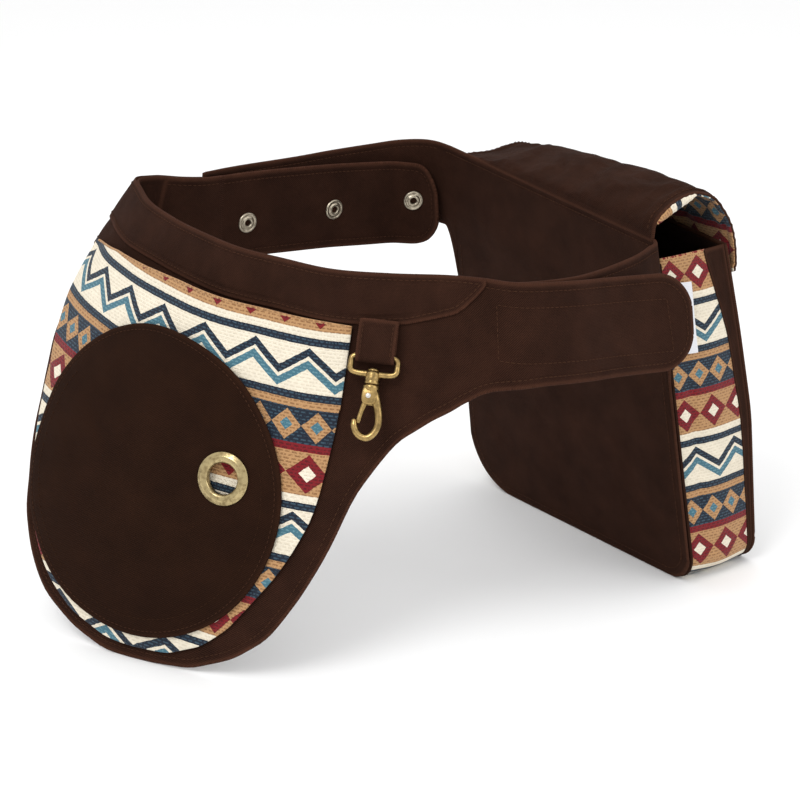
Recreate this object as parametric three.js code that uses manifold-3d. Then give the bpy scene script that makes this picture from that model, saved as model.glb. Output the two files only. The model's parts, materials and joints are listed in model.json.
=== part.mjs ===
// Hip belt with two pouches for dog training: a teardrop front unit with a treat
// pocket, a round bag-dispenser patch and a swivel snap hook, and a boxed rear
// pouch with a flap. The two units close into one waist loop.
//
// Frame: millimetres, +Z up. The origin is on the resting plane, at the centre of
// the bounding box. -Y is the side of the snap hook, +X the side of the rear
// pouch. The tables below are drawn about the middle of the waist loop, and
// ORIGIN moves the finished group.
//
// Every fabric piece is a thin closed sheet. Most are laid on one of two ruled
// surfaces. A ruled surface is a waist line (top edge) and the point where each
// of its rulings meets the resting plane; u counts stations along it and h is the
// distance down the ruling. Offsets are measured along the outward normal.

import * as THREE from 'three';
import { mergeVertices } from 'three/addons/utils/BufferGeometryUtils.js';
import Module from 'manifold-3d';

const wasm = await Module();
wasm.setup();

// ---------------------------------------------------------------- shared sizes
const ORIGIN = [1.25, 28.65, 0];    // frame origin in the tables' coordinates
const PANEL_THICKNESS = 2.0;        // doubled canvas with interfacing
const GAP = 0.3;                    // clearance between neighbouring pieces
const BELT_WIDTH = 50.5;
const TAIL_TIP_RADIUS = 21;
const TAIL_HINGE_GAP = 0.03;        // stations left free at the root of a tail

const FINISH = {
  canvas: { color: 0x36231b, roughness: 0.9 },
  print: { color: 0xb79f7c, roughness: 0.85 },
  lining: { color: 0x2b1d17, roughness: 0.95 },
  tape: { color: 0x2b1d17, roughness: 1.0 },
  label: { color: 0xe8e6e0, roughness: 0.8 },
  brass: { color: 0x8a6f3c, roughness: 0.35, metalness: 0.9 },
  stud: { color: 0x9a9078, roughness: 0.35, metalness: 0.9 },
  magnet: { color: 0x9a9078, roughness: 0.4, metalness: 0.9 },
  pin: { color: 0x9a9078, roughness: 0.3, metalness: 1.0 },
  spring: { color: 0x9a9078, roughness: 0.4, metalness: 1.0 },
};

// ---------------------------------------------------------------- numbers
const vec = (x, y, z) => new THREE.Vector3(x, y, z);
const clampUnit = (x) => THREE.MathUtils.clamp(x, 0, 1);
const mixRows = (a, b, t) => a.map((value, k) => value + (b[k] - value) * t);

function range(from, to, steps) {
  return Array.from({ length: steps + 1 }, (_, k) => from + ((to - from) * k) / steps);
}

const between = (stations, from, to) => stations.filter((u) => u > from && u < to);

// Linear interpolation in a table of [x, y], held constant beyond its ends.
function lookUp(table, x) {
  if (x <= table[0][0]) return table[0][1];
  for (let i = 1; i < table.length; i++) {
    if (x <= table[i][0]) {
      const [x0, y0] = table[i - 1];
      const [x1, y1] = table[i];
      return y0 + ((y1 - y0) * (x - x0)) / (x1 - x0);
    }
  }
  return table[table.length - 1][1];
}

// Uniform Catmull-Rom through rows of numbers.
function spline(rows, u) {
  const count = rows.length;
  const x = Math.min(Math.max(u, 0), count - 1);
  const i = Math.min(Math.floor(x), count - 2);
  const t = x - i;
  const start = rows[i];
  const end = rows[i + 1];
  const before = i > 0 ? rows[i - 1] : start.map((v, k) => 2 * v - end[k]);
  const after = i < count - 2 ? rows[i + 2] : end.map((v, k) => 2 * v - start[k]);
  return start.map((v, k) => 0.5 * (2 * v + (-before[k] + end[k]) * t
    + (2 * before[k] - 5 * v + 4 * end[k] - after[k]) * t * t
    + (-before[k] + 3 * v - 3 * end[k] + after[k]) * t * t * t));
}

// How far an edge comes in at a distance from the tangent of its round corner.
function cornerInset(distance, radius) {
  if (distance >= radius) return 0;
  return radius - Math.sqrt(Math.max(radius ** 2 - (radius - distance) ** 2, 0));
}

// ---------------------------------------------------------------- sheets
class RuledSurface {
  // Rows are [x, y, z, foot x, foot y]. Between the two flat stations the
  // surface is a plane panel; by default there is none.
  constructor(rows, flatFrom = Infinity, flatTo = Infinity) {
    this.rows = rows;
    this.last = rows.length - 1;
    this.flatFrom = flatFrom;
    this.flatTo = flatTo;
  }

  ends(u) {
    const { rows, flatFrom, flatTo } = this;
    const [x, y, z, footX, footY] = u <= flatFrom || u >= flatTo
      ? spline(rows, u)
      : mixRows(rows[flatFrom], rows[flatTo], (u - flatFrom) / (flatTo - flatFrom));
    return { top: vec(x, y, z), foot: vec(footX, footY, 0) };
  }

  length(u) {
    const { top, foot } = this.ends(u);
    return top.distanceTo(foot);
  }

  ruling(u) {
    const { top, foot } = this.ends(u);
    return { top, down: foot.sub(top).normalize() };
  }

  on(u, h) {
    const { top, down } = this.ruling(u);
    return top.addScaledVector(down, h);
  }

  normal(u, h) {
    const step = 0.02;
    const ahead = this.on(Math.min(u + step, this.last), h);
    const along = ahead.sub(this.on(Math.max(u - step, 0), h));
    return this.ruling(u).down.cross(along).normalize();
  }

  at(u, h, offset) {
    return this.on(u, h).addScaledVector(this.normal(u, h), offset);
  }
}

// Turns positions and faces into a geometry whose faces point outwards.
function closed(position, index) {
  let volume = 0;
  const point = (k) => vec(...position.slice(3 * k, 3 * k + 3));
  for (let k = 0; k < index.length; k += 3) {
    volume += point(index[k]).dot(point(index[k + 1]).cross(point(index[k + 2]))) / 6;
  }
  if (volume < 0) {
    for (let k = 0; k < index.length; k += 3) {
      [index[k + 1], index[k + 2]] = [index[k + 2], index[k + 1]];
    }
  }
  const geometry = new THREE.BufferGeometry();
  geometry.setAttribute('position', new THREE.Float32BufferAttribute(position, 3));
  geometry.setIndex(index);
  return geometry;
}

// A closed sheet from two grids of points, outer(i, j) and inner(i, j).
function sheet(columns, rows, outer, inner) {
  const stride = rows + 1;
  const count = (columns + 1) * stride;
  const position = [];
  for (const side of [outer, inner]) {
    for (let i = 0; i <= columns; i++) {
      for (let j = 0; j <= rows; j++) position.push(...side(i, j).toArray());
    }
  }
  const index = [];
  const quad = (a, b, c, d) => index.push(a, b, c, a, c, d);
  const at = (side, i, j) => side * count + i * stride + j;
  for (let i = 0; i < columns; i++) {
    for (let j = 0; j < rows; j++) {
      quad(at(0, i, j), at(0, i, j + 1), at(0, i + 1, j + 1), at(0, i + 1, j));
      quad(at(1, i, j), at(1, i + 1, j), at(1, i + 1, j + 1), at(1, i, j + 1));
    }
    quad(at(0, i, 0), at(0, i + 1, 0), at(1, i + 1, 0), at(1, i, 0));
    quad(at(0, i, rows), at(1, i, rows), at(1, i + 1, rows), at(0, i + 1, rows));
  }
  for (let j = 0; j < rows; j++) {
    quad(at(0, 0, j), at(1, 0, j), at(1, 0, j + 1), at(0, 0, j + 1));
    quad(at(0, columns, j), at(0, columns, j + 1), at(1, columns, j + 1), at(1, columns, j));
  }
  return closed(position, index);
}

// A sheet on a ruled surface. upper(u) and lower(u) give h of its two edges;
// offset(u, h), or a number, places its inner face.
function ruledSheet(surface, { stations, upper, lower, rows, offset, thickness }) {
  const minHeight = 0.8;
  const offsetAt = typeof offset === 'function' ? offset : () => offset;
  const face = (extra) => (i, j) => {
    const u = stations[i];
    const top = upper(u);
    const bottom = Math.max(lower(u), top + minHeight);
    const h = top + ((bottom - top) * j) / rows;
    return surface.at(u, h, offsetAt(u, h) + extra);
  };
  return sheet(stations.length - 1, rows, face(thickness), face(0));
}

// ---------------------------------------------------------------- solids
function merged(geometry) {
  const bare = geometry.clone();
  for (const name of Object.keys(bare.attributes)) {
    if (name !== 'position') bare.deleteAttribute(name);
  }
  return mergeVertices(bare, 1e-4);
}

function toManifold(geometry) {
  const { attributes, index } = merged(geometry);
  return new wasm.Manifold(new wasm.Mesh({
    numProp: 3,
    vertProperties: new Float32Array(attributes.position.array),
    triVerts: new Uint32Array(index.array),
  }));
}

function fromManifold(solid) {
  const mesh = solid.getMesh();
  const position = new THREE.BufferAttribute(new Float32Array(mesh.vertProperties), 3);
  const geometry = new THREE.BufferGeometry();
  geometry.setAttribute('position', position);
  geometry.setIndex(new THREE.BufferAttribute(new Uint32Array(mesh.triVerts), 1));
  return geometry;
}

function cut(geometry, ...tools) {
  return fromManifold(tools.reduce(
    (solid, tool) => solid.subtract(toManifold(tool)), toManifold(geometry)));
}

function join(...parts) {
  return fromManifold(parts.map(toManifold).reduce((a, b) => a.add(b)));
}

function frameMatrix(origin, xAxis, yAxis, zAxis) {
  return new THREE.Matrix4().makeBasis(xAxis, yAxis, zAxis).setPosition(origin);
}

const shifted = (matrix, x, y, z) => matrix.clone()
  .multiply(new THREE.Matrix4().makeTranslation(x, y, z));

// Cylinder along local z of a matrix, for holes and pins.
function rod(radius, from, to, matrix, segments) {
  const geometry = new THREE.CylinderGeometry(radius, radius, to - from, segments);
  geometry.rotateX(Math.PI / 2);
  geometry.translate(0, 0, (from + to) / 2);
  return geometry.applyMatrix4(matrix);
}

// Box of [width, height, depth] about a local centre.
function block(size, centre, matrix) {
  return new THREE.BoxGeometry(...size).translate(...centre).applyMatrix4(matrix);
}

// Revolved piece about local z: profile of [r, z] that starts and ends on the
// axis or closes.
function turned(profile, matrix, segments) {
  const outline = profile.map(([r, z]) => new THREE.Vector2(r, z));
  const lathe = new THREE.LatheGeometry(outline, segments);
  lathe.rotateX(Math.PI / 2);
  const { attributes, index } = merged(lathe.applyMatrix4(matrix));
  // Faces that touch the axis collapse when their points merge.
  const faces = [];
  for (let k = 0; k < index.array.length; k += 3) {
    const [a, b, c] = index.array.slice(k, k + 3);
    if (a !== b && b !== c && a !== c) faces.push(a, b, c);
  }
  return closed(Array.from(attributes.position.array), faces);
}

// Round wire along a list of local points.
function wire(points, radius, matrix, segments, sides) {
  const curve = new THREE.CatmullRomCurve3(points.map((point) => vec(...point)));
  const circle = new THREE.Shape(range(0, 2 * Math.PI, sides).slice(0, -1)
    .map((a) => new THREE.Vector2(radius * Math.cos(a), radius * Math.sin(a))));
  return new THREE.ExtrudeGeometry(circle, {
    steps: segments,
    extrudePath: curve,
    bevelEnabled: false,
  }).applyMatrix4(matrix);
}

// ---------------------------------------------------------------- front surface
// Waist line (x, y, z) and foot of the ruling (x, y).
const front = new RuledSurface([
  [-98.6, 77.2, 218.6, -110.0, 92.5],
  [-110.2, 67.3, 219.4, -124.5, 84.5],
  [-123.0, 60.6, 220.8, -158.0, 92.0],
  [-137.0, 59.8, 221.8, -216.0, 95.0],
  [-146.6, 53.0, 222.0, -300.0, 30.0],
  [-142.8, 34.5, 221.0, -310.3, -7.4],
  [-135.4, 12.0, 219.5, -276.7, -25.2],
  [-124.2, -7.5, 218.0, -244.9, -42.0],
  [-110.1, -27.2, 216.5, -210.5, -60.2],
  [-83.6, -57.6, 214.5, -153.4, -90.5],
  [-58.6, -74.6, 213.0, -110.5, -113.2],
  [-33.7, -90.1, 212.0, -69.0, -135.2],
  [-5.0, -94.5, 211.0, -28.0, -156.9],
  [24.0, -94.6, 210.0, 30.0, -175.0],
  [42.5, -96.5, 209.0, 48.5, -156.1],
  [60.8, -100.9, 208.0, 73.4, -151.2],
  [87.5, -85.8, 204.5, 109.1, -123.5],
  [108.2, -64.9, 200.0, 132.1, -95.6],
  [128.2, -47.9, 196.5, 147.1, -77.0],
  [152.7, -33.1, 194.0, 168.0, -59.7],
]);

// ---------------------------------------------------------------- front panel
const FRONT_TAIL_ROOT = 14.15;      // station where the front tail hinges
const PANEL_STATIONS = [
  0.34, 0.7, 1.2, 1.8, 2.4, 3, 3.5, 4,
  ...range(4.3, 5.2, 3), ...range(5.55, 9, 8), ...range(9.4, 11.48, 6),
  11.8, 12.1, 12.5, 13, 13.4, 13.8, FRONT_TAIL_ROOT - TAIL_HINGE_GAP,
];
// Edge tables: [station, distance down].
const PANEL_LOWER_EDGE = [
  [0, 51], [1, 50.5], [2, 50], [3, 47], [4, 43], [4.6, 41], [4.9, 46], [5.25, 66],
  [5.6, 90], [6.1, 113], [6.5, 137], [7, 163], [7.3, 180], [7.8, 199.5], [8.2, 215],
  [8.55, 224], [8.9, 228], [9.5, 224.6], [10, 220.5], [10.5, 208.5], [10.9, 193],
  [11.3, 164.6], [11.6, 138.6], [11.8, 113.6], [12.1, 94.2], [12.3, 82.4],
  [12.7, 71.4], [13.2, 62.9], [13.7, 57.8], [14.2, 54.6],
];
const FACING_WIDTH = 24;
const FACING_UPPER = 0.6;           // distance down of its top edge
const FACING_INSET = 1.2;           // taken off the width at the lower edge
const FACING_WIDTHS = [[12.3, FACING_WIDTH], [13.15, 19], [13.95, 1.6]];

function frontPanel() {
  return ruledSheet(front, {
    stations: PANEL_STATIONS,
    upper: () => 0,
    lower: (u) => lookUp(PANEL_LOWER_EDGE, u),
    rows: 5,
    offset: 0,
    thickness: PANEL_THICKNESS,
  });
}

function waistbandFacing() {
  return ruledSheet(front, {
    stations: between(PANEL_STATIONS, 4.1, 13.9),
    upper: () => FACING_UPPER,
    lower: (u) => lookUp(FACING_WIDTHS, u) - FACING_INSET,
    rows: 2,
    offset: PANEL_THICKNESS + GAP,
    thickness: 1.3,
  });
}

// ---------------------------------------------------------------- treat pocket
const POCKET_START = 4.85;          // stations of its two sides
const POCKET_END = 11.48;
const POCKET_UPPER_EDGE = [
  [POCKET_START, 37], [6.3, 30.4], [7.7, 28], [8.5, 26.2], [9.2, 26], [10.2, 26],
  [11, 26], [POCKET_END, 27],
];
const POCKET_LOWER_EDGE = [
  [POCKET_START, 39], [5.0, 46], [5.3, 68.6], [5.6, 83.2], [6.1, 105.2],
  [6.5, 129.3], [7, 155.2], [7.3, 171.1], [7.8, 190.6], [8.2, 206.2], [8.5, 216],
  [8.9, 221], [9.2, 220], [9.7, 216.5], [10.1, 207], [10.4, 193.4], [10.6, 179.8],
  [10.9, 160.6], [11.1, 144.9], [11.3, 126.3], [11.4, 106], [POCKET_END, 70],
];
const POCKET_STATIONS = [
  POCKET_START, ...between(PANEL_STATIONS, 4.95, 11.3), 11.3, POCKET_END,
];
const POCKET_FULLNESS = 14;         // scale of its stand-off from the panel
const POCKET_THICKNESS = 1.0;
const POCKET_LINING_THICKNESS = 0.6;
const LINING_OFFSET = PANEL_THICKNESS + GAP;
const POCKET_OFFSET = LINING_OFFSET + POCKET_LINING_THICKNESS + GAP;

const pocketUpper = (u) => lookUp(POCKET_UPPER_EDGE, u);
const pocketLower = (u) => lookUp(POCKET_LOWER_EDGE, u);

// Fullness of the pocket: zero at the sewn edges, open along the mouth.
function pocketFullness(u, h) {
  const top = pocketUpper(u);
  const drop = clampUnit((h - top) / Math.max(pocketLower(u) - top, 1));
  const share = (u - POCKET_START) / (POCKET_END - POCKET_START);
  const across = Math.sin(Math.PI * clampUnit((share - 0.02) / 0.93)) ** 1.1;
  const down = Math.cos((drop * Math.PI) / 2) ** 0.8 * (0.62 + 0.75 * drop);
  return POCKET_FULLNESS * across * down;
}

function treatPocketLining() {
  return ruledSheet(front, {
    stations: POCKET_STATIONS,
    upper: (u) => pocketUpper(u) + 0.8,
    lower: (u) => pocketLower(u) - 1,
    rows: 5,
    offset: (u, h) => LINING_OFFSET + pocketFullness(u, h),
    thickness: POCKET_LINING_THICKNESS,
  });
}

function treatPocket() {
  return ruledSheet(front, {
    stations: POCKET_STATIONS,
    upper: pocketUpper,
    lower: pocketLower,
    rows: 5,
    offset: (u, h) => POCKET_OFFSET + pocketFullness(u, h),
    thickness: POCKET_THICKNESS,
  });
}

// ---------------------------------------------------------------- dispenser patch
const PATCH_CENTRE = [8.88, 132.3]; // station, distance down
const PATCH_RADIUS = 81.2;
const PATCH_FULLNESS = 3.5;
const PATCH_CLEARANCE = 1.1;        // between pocket and patch
const PATCH_MIN_CHORD = 26;         // height of the patch at its side stations
const EYELET_CENTRE = [10.05, 115.3];
const EYELET_BORE_R = 8.3;
const EYELET_FLANGE_R = 14.6;
const EYELET_PROFILE = [            // r, z
  [EYELET_BORE_R, -0.4], [EYELET_BORE_R, 3.0], [EYELET_BORE_R + 1.2, 3.6],
  [EYELET_FLANGE_R - 1.5, 3.2], [EYELET_FLANGE_R, 2.45], [EYELET_FLANGE_R - 0.6, 2.25],
  [EYELET_BORE_R + 0.9, 2.25], [EYELET_BORE_R + 0.9, -0.4], [EYELET_BORE_R, -0.4],
];
const patchCentre = front.on(...PATCH_CENTRE);

// Distance down the ruling where the patch circle is crossed, above (-1) or
// below (1) its centre.
function patchEdge(u, sign) {
  const { top, down } = front.ruling(u);
  const middle = patchCentre.clone().sub(top).dot(down);
  const miss = front.on(u, middle).distanceTo(patchCentre);
  return middle + sign * Math.sqrt(Math.max(PATCH_RADIUS ** 2 - miss * miss, 0));
}

// First station, walking from start, where the patch is tall enough.
function patchSide(start, step) {
  let u = start;
  while (patchEdge(u, 1) - patchEdge(u, -1) < PATCH_MIN_CHORD) u += step;
  return u;
}

function patchOffset(u, h) {
  const share = front.on(u, h).distanceTo(patchCentre) / PATCH_RADIUS;
  return POCKET_OFFSET + POCKET_THICKNESS + PATCH_CLEARANCE + pocketFullness(u, h)
    + PATCH_FULLNESS * Math.max(1 - share * share, 0) ** 1.2;
}

function patchFrame([u, h]) {
  const point = (station, down) => front.at(station, down, patchOffset(station, down));
  const along = point(u + 0.5, h).sub(point(u - 0.5, h)).normalize();
  const up = point(u, h - 12).sub(point(u, h + 12)).normalize();
  const outward = along.cross(up).normalize();
  return frameMatrix(point(u, h), up.clone().cross(outward).normalize(), up, outward);
}
const eyeletFrame = patchFrame(EYELET_CENTRE);

function bagDispenserPatch() {
  const start = patchSide(6.4, 0.01);
  const end = patchSide(11.2, -0.01);
  const disk = ruledSheet(front, {
    stations: range(0, Math.PI, 16)
      .map((a) => (start + end) / 2 - ((end - start) / 2) * Math.cos(a)),
    upper: (u) => patchEdge(u, -1),
    lower: (u) => patchEdge(u, 1),
    rows: 8,
    offset: patchOffset,
    thickness: 1.2,
  });
  return cut(disk, rod(EYELET_BORE_R + 1.5, -6, 8, eyeletFrame, 28));
}

// ---------------------------------------------------------------- hook tab
const TAB_STATION = 11.93;          // middle of the hook tab
const TAB_TOP = 26;                 // distance down the ruling
const TAB_LENGTH = 18.4;
const TAB_WIDTH = 19.6;
const TAB_BACK_Z = 3.0;             // its inner face, off the front surface
const TAB_OUTER_R = 3.2;            // round bottom of the loop
const TAB_INNER_R = 2.1;
const TAB_MIDDLE_Z = TAB_BACK_Z + TAB_OUTER_R;
const TAB_ARC_Y = -TAB_LENGTH + TAB_OUTER_R;

// Local axes: x along the belt, y up the ruling, z outward.
const tabFrame = (() => {
  const outward = front.normal(TAB_STATION, TAB_TOP);
  const up = front.ruling(TAB_STATION).down.negate();
  const along = up.clone().cross(outward).normalize();
  return frameMatrix(front.at(TAB_STATION, TAB_TOP, 0), along, up, outward);
})();

// Strap folded in a loop: two straight legs and a round bottom.
function hookTab() {
  const shape = new THREE.Shape();
  const middle = TAB_MIDDLE_Z;
  shape.moveTo(middle - TAB_OUTER_R, 0);
  shape.lineTo(middle - TAB_INNER_R, 0);
  shape.lineTo(middle - TAB_INNER_R, TAB_ARC_Y);
  shape.absarc(middle, TAB_ARC_Y, TAB_INNER_R, Math.PI, 2 * Math.PI, false);
  shape.lineTo(middle + TAB_INNER_R, 0);
  shape.lineTo(middle + TAB_OUTER_R, 0);
  shape.lineTo(middle + TAB_OUTER_R, TAB_ARC_Y);
  shape.absarc(middle, TAB_ARC_Y, TAB_OUTER_R, 0, Math.PI, true);
  shape.lineTo(middle - TAB_OUTER_R, 0);
  const geometry = new THREE.ExtrudeGeometry(shape, {
    depth: TAB_WIDTH,
    bevelEnabled: false,
    curveSegments: 6,
  });
  geometry.translate(0, 0, -TAB_WIDTH / 2);
  // shape x -> outward, shape y -> up, extrusion -> against local x
  geometry.applyMatrix4(
    new THREE.Matrix4().makeBasis(vec(0, 0, 1), vec(0, 1, 0), vec(-1, 0, 0)));
  return geometry.applyMatrix4(tabFrame);
}

// ---------------------------------------------------------------- snap hook
const HOOK_TILT_DEG = 10;           // how far the hook hangs off the panel
const BAR_RISE = 0.35;              // bow bar above the centre of the tab's arc
const BOW_WIRE_R = 1.4;
const BOW_HALF_WIDTH = 11.8;        // to the wire centre
const BOW_DROP = 9.2;
const BOW_EXPONENT = 0.42;          // superellipse; smaller is squarer
const BOSS_R = 3.7;
const BOSS_BORE_R = 1.95;
const BOSS_TOP = -BOW_DROP + 1.2;
const BOSS_BOTTOM = -BOW_DROP - 5.2;
const COLLAR_Y = BOSS_BOTTOM - GAP; // top face of the collar
const POST_PROFILE = [              // r, height: collar, neck and rivet head
  [0, COLLAR_Y - 2.4], [3.9, COLLAR_Y - 2.4], [3.9, COLLAR_Y], [1.6, COLLAR_Y],
  [1.6, BOSS_TOP + GAP], [2.9, BOSS_TOP + GAP], [2.5, BOSS_TOP + 1.5], [0, BOSS_TOP + 1.7],
];
const PIN_X = -0.6;
const PIN_Y = COLLAR_Y - 5.6;
const PIN_R = 0.62;
const J_WIRE_R = 1.75;
const J_POINTS = [                  // x, distance below the collar
  [2.6, 6.4], [4.6, 10], [5.6, 15], [5.3, 20.5],
  [2.6, 25.2], [-1.6, 26.2], [-5.0, 23.2], [-6.3, 19.2],
];
const LEVER_SIZE = [13.6, 2.4, 1.7];
const LEVER_Z = 0.75;
const LEVER_ANGLE = Math.atan2(-13.4, -3.1);
const SPRING = { coilR: 1.25, wireR: 0.2, start: -1.6, length: 1.15, turns: 2 };

// Origin on the bow bar, y up towards the tab, z outward.
const hookFrame = shifted(tabFrame, 0, TAB_ARC_Y + BAR_RISE, TAB_MIDDLE_Z)
  .multiply(new THREE.Matrix4().makeRotationX(-THREE.MathUtils.degToRad(HOOK_TILT_DEG)));
// Local z of this frame is up the hook.
const hookAxis = hookFrame.clone()
  .multiply(new THREE.Matrix4().makeRotationX(-Math.PI / 2));
const pinFrame = shifted(hookFrame, PIN_X, PIN_Y, 0);

// Rounded-rectangle ring, bent from a torus; its top side is the bar.
function bowRing() {
  const tube = 0.2;
  const { attributes, index } = merged(new THREE.TorusGeometry(1, tube, 8, 32));
  const points = attributes.position;
  const halfDrop = BOW_DROP / 2;
  for (let k = 0; k < points.count; k++) {
    const x = points.getX(k);
    const y = points.getY(k);
    const angle = Math.atan2(y, x);
    const cos = Math.cos(angle);
    const sin = Math.sin(angle);
    const centreX = BOW_HALF_WIDTH * Math.sign(cos) * Math.abs(cos) ** BOW_EXPONENT;
    const centreY = halfDrop * Math.sign(sin) * Math.abs(sin) ** BOW_EXPONENT;
    const tangentX = -BOW_HALF_WIDTH * Math.abs(sin) ** (2 - BOW_EXPONENT) * Math.sign(sin);
    const tangentY = halfDrop * Math.abs(cos) ** (2 - BOW_EXPONENT) * Math.sign(cos);
    const length = Math.hypot(tangentX, tangentY) || 1;
    const out = ((Math.hypot(x, y) - 1) / tube) * BOW_WIRE_R;
    points.setXYZ(k,
      centreX + (tangentY / length) * out,
      centreY - halfDrop - (tangentX / length) * out,
      (points.getZ(k) / tube) * BOW_WIRE_R);
  }
  return closed(Array.from(points.array), Array.from(index.array));
}

// Bow: the ring with a bored boss at the bottom.
function snapHookBow() {
  const boss = rod(BOSS_R, BOSS_BOTTOM, BOSS_TOP, hookAxis, 18);
  const bore = rod(BOSS_BORE_R, BOSS_BOTTOM - 1, BOSS_TOP + 1, hookAxis, 14);
  return cut(join(bowRing().applyMatrix4(hookFrame), boss), bore);
}

// Hook body: riveted post, collar, forked cheeks and the J-shaped hook.
function snapHookBody() {
  const post = turned(POST_PROFILE, hookAxis, 14);
  const cheeks = block([7.4, 7.2, 6.0], [0, PIN_Y, 0], hookFrame);
  const slot = block([8.4, 7.2, 4.0], [-2.2, COLLAR_Y - 6.4, 0], hookFrame);
  const jPath = J_POINTS.map(([x, drop]) => [x, COLLAR_Y - drop, 0]);
  const jHook = wire(jPath, J_WIRE_R, hookFrame, 18, 8);
  const pinHole = rod(0.75, -4, 4, pinFrame, 12);
  return cut(join(cut(join(post, cheeks), slot), jHook), pinHole);
}

// Gate: hub on the pin and a lever that closes on the inside of the hook nose.
function snapHookGate() {
  const hub = rod(2.1, -0.1, 1.6, pinFrame, 16);
  const leverFrame = pinFrame.clone()
    .multiply(new THREE.Matrix4().makeRotationZ(LEVER_ANGLE));
  const lever = block(LEVER_SIZE, [LEVER_SIZE[0] / 2, 0, LEVER_Z], leverFrame);
  return cut(join(hub, lever), rod(0.78, -2, 3, pinFrame, 12));
}

// Torsion spring wound on the pin beside the hub.
function gateSpring() {
  const { coilR, wireR, start, length, turns } = SPRING;
  const sweep = 2 * Math.PI * turns;
  const coil = range(0, sweep, 24)
    .map((a) => [coilR * Math.cos(a), coilR * Math.sin(a), start + (a / sweep) * length]);
  return wire(coil, wireR, pinFrame, 28, 5);
}

// ---------------------------------------------------------------- front tail
const TAIL_LOWER_EDGE = [[14.15, 54.8], [14.7, 52.4], [15.3, 50.5], [16.6, 50.5], [19, 51]];
const TAIL_STATIONS = [
  ...range(FRONT_TAIL_ROOT + TAIL_HINGE_GAP, 18.2, 10),
  18.45, 18.65, 18.8, 18.9, 18.96, 18.99,
];

function frontTail() {
  const stationLength = front.on(front.last - 1, 25).distanceTo(front.on(front.last, 25));
  const tipInset = (u) => cornerInset((front.last - u) * stationLength, TAIL_TIP_RADIUS);
  return ruledSheet(front, {
    stations: TAIL_STATIONS,
    upper: tipInset,
    lower: (u) => lookUp(TAIL_LOWER_EDGE, u) - tipInset(u),
    rows: 3,
    offset: 0,
    thickness: PANEL_THICKNESS,
  });
}

// Hook tape on the inner face of the front tail.
function closureHookTape() {
  return ruledSheet(front, {
    stations: between(TAIL_STATIONS, 14.3, 18.4),
    upper: () => 10,
    lower: () => 43,
    rows: 1,
    offset: -1.3,
    thickness: 1.0,
  });
}

// ---------------------------------------------------------------- rear surface
// From the near (-Y) strip, along the flat pouch panel, to the far extension.
// Rows as for the front surface.
const REAR_STRIP = [
  [25.0, -89.0, 208.0, 30.5, -144.5],
  [42.0, -91.8, 207.5, 47.1, -143.2],
  [59.7, -96.3, 207.0, 71.3, -142.6],
  [85.1, -81.7, 205.0, 106.9, -119.5],
  [103.0, -62.0, 203.5, 129.9, -85.7],
  [121.5, -39.0, 203.5, 149.4, -55.2],
  [131.5, -22.0, 203.8, 160.5, -31.2],
];
const REAR_NEAR = [136.5, -7, 204, 166, -7];
const REAR_FAR = [30, 147, 219, 47.5, 157];
const REAR_EXTENSION = [
  [17.0, 158.5, 220.2, 24.4, 178.4],
  [0.0, 157.0, 220.5, -5.2, 173.5],
  [-17.6, 146.0, 220.5, -25.3, 159.4],
  [-40.0, 130.5, 220.5, -48.9, 143.0],
  [-62.0, 113.0, 220.5, -72.4, 126.9],
  [-94.0, 91.0, 220.5, -105.6, 106.4],
  [-112.0, 75.5, 220.5, -125.2, 92.1],
];
const REAR_PANEL_STATIONS = 8;
const NEAR_STATION = REAR_STRIP.length;                     // pouch near edge
const FAR_STATION = NEAR_STATION + REAR_PANEL_STATIONS - 1; // pouch far edge
const rear = new RuledSurface([
  ...REAR_STRIP,
  ...range(0, 1, REAR_PANEL_STATIONS - 1).map((t) => mixRows(REAR_NEAR, REAR_FAR, t)),
  ...REAR_EXTENSION,
], NEAR_STATION, FAR_STATION);

// ---------------------------------------------------------------- press studs
const SNAP_PLACES = [[19.9, 32.3], [18.1, 33.9], [15.6, 36.2]];   // station, distance down
const SNAP_HOLE_R = 2.9;
const SNAP_FACET = 0.36;            // half width, in stations, of the flat at a stud
const SNAP_CLEAR = 0.12;            // further stations kept free around it
const BACK_TAIL_OFFSET = -6.4;      // inner face, inside the far extension
const BACK_TAIL_OUTER = BACK_TAIL_OFFSET + PANEL_THICKNESS;
const STUD_PROFILE = [              // r, z; ring inside the tail, knob outside
  [0, BACK_TAIL_OFFSET + 0.4], [2.0, BACK_TAIL_OFFSET + 0.4],
  [2.0, BACK_TAIL_OFFSET - 1.1], [3.4, BACK_TAIL_OFFSET - 1.3],
  [3.9, BACK_TAIL_OFFSET - 0.8], [5.4, BACK_TAIL_OFFSET - 0.9],
  [6.1, BACK_TAIL_OFFSET - 0.3], [2.5, BACK_TAIL_OFFSET - 0.3],
  [2.5, BACK_TAIL_OUTER + 0.3], [4.9, BACK_TAIL_OUTER + 0.3],
  [4.9, BACK_TAIL_OUTER + 0.8], [2.6, BACK_TAIL_OUTER + 1.0],
  [2.6, BACK_TAIL_OUTER + 2.2], [2.0, BACK_TAIL_OUTER + 2.5],
  [0, BACK_TAIL_OUTER + 2.5],
];
const SOCKET_R = 5.9;
const SOCKET_PROFILE = [            // r, z; socket inside the panel, cap outside
  [3.7, -0.9], [3.7, -2.5], [SOCKET_R - 0.4, -2.5], [SOCKET_R, -2.1], [SOCKET_R, -0.35],
  [2.5, -0.35], [2.5, 2.1], [6.1, 2.1], [6.1, 2.7], [4.4, 3.5], [0, 3.8], [0, -0.9],
  [3.7, -0.9],
];

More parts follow.
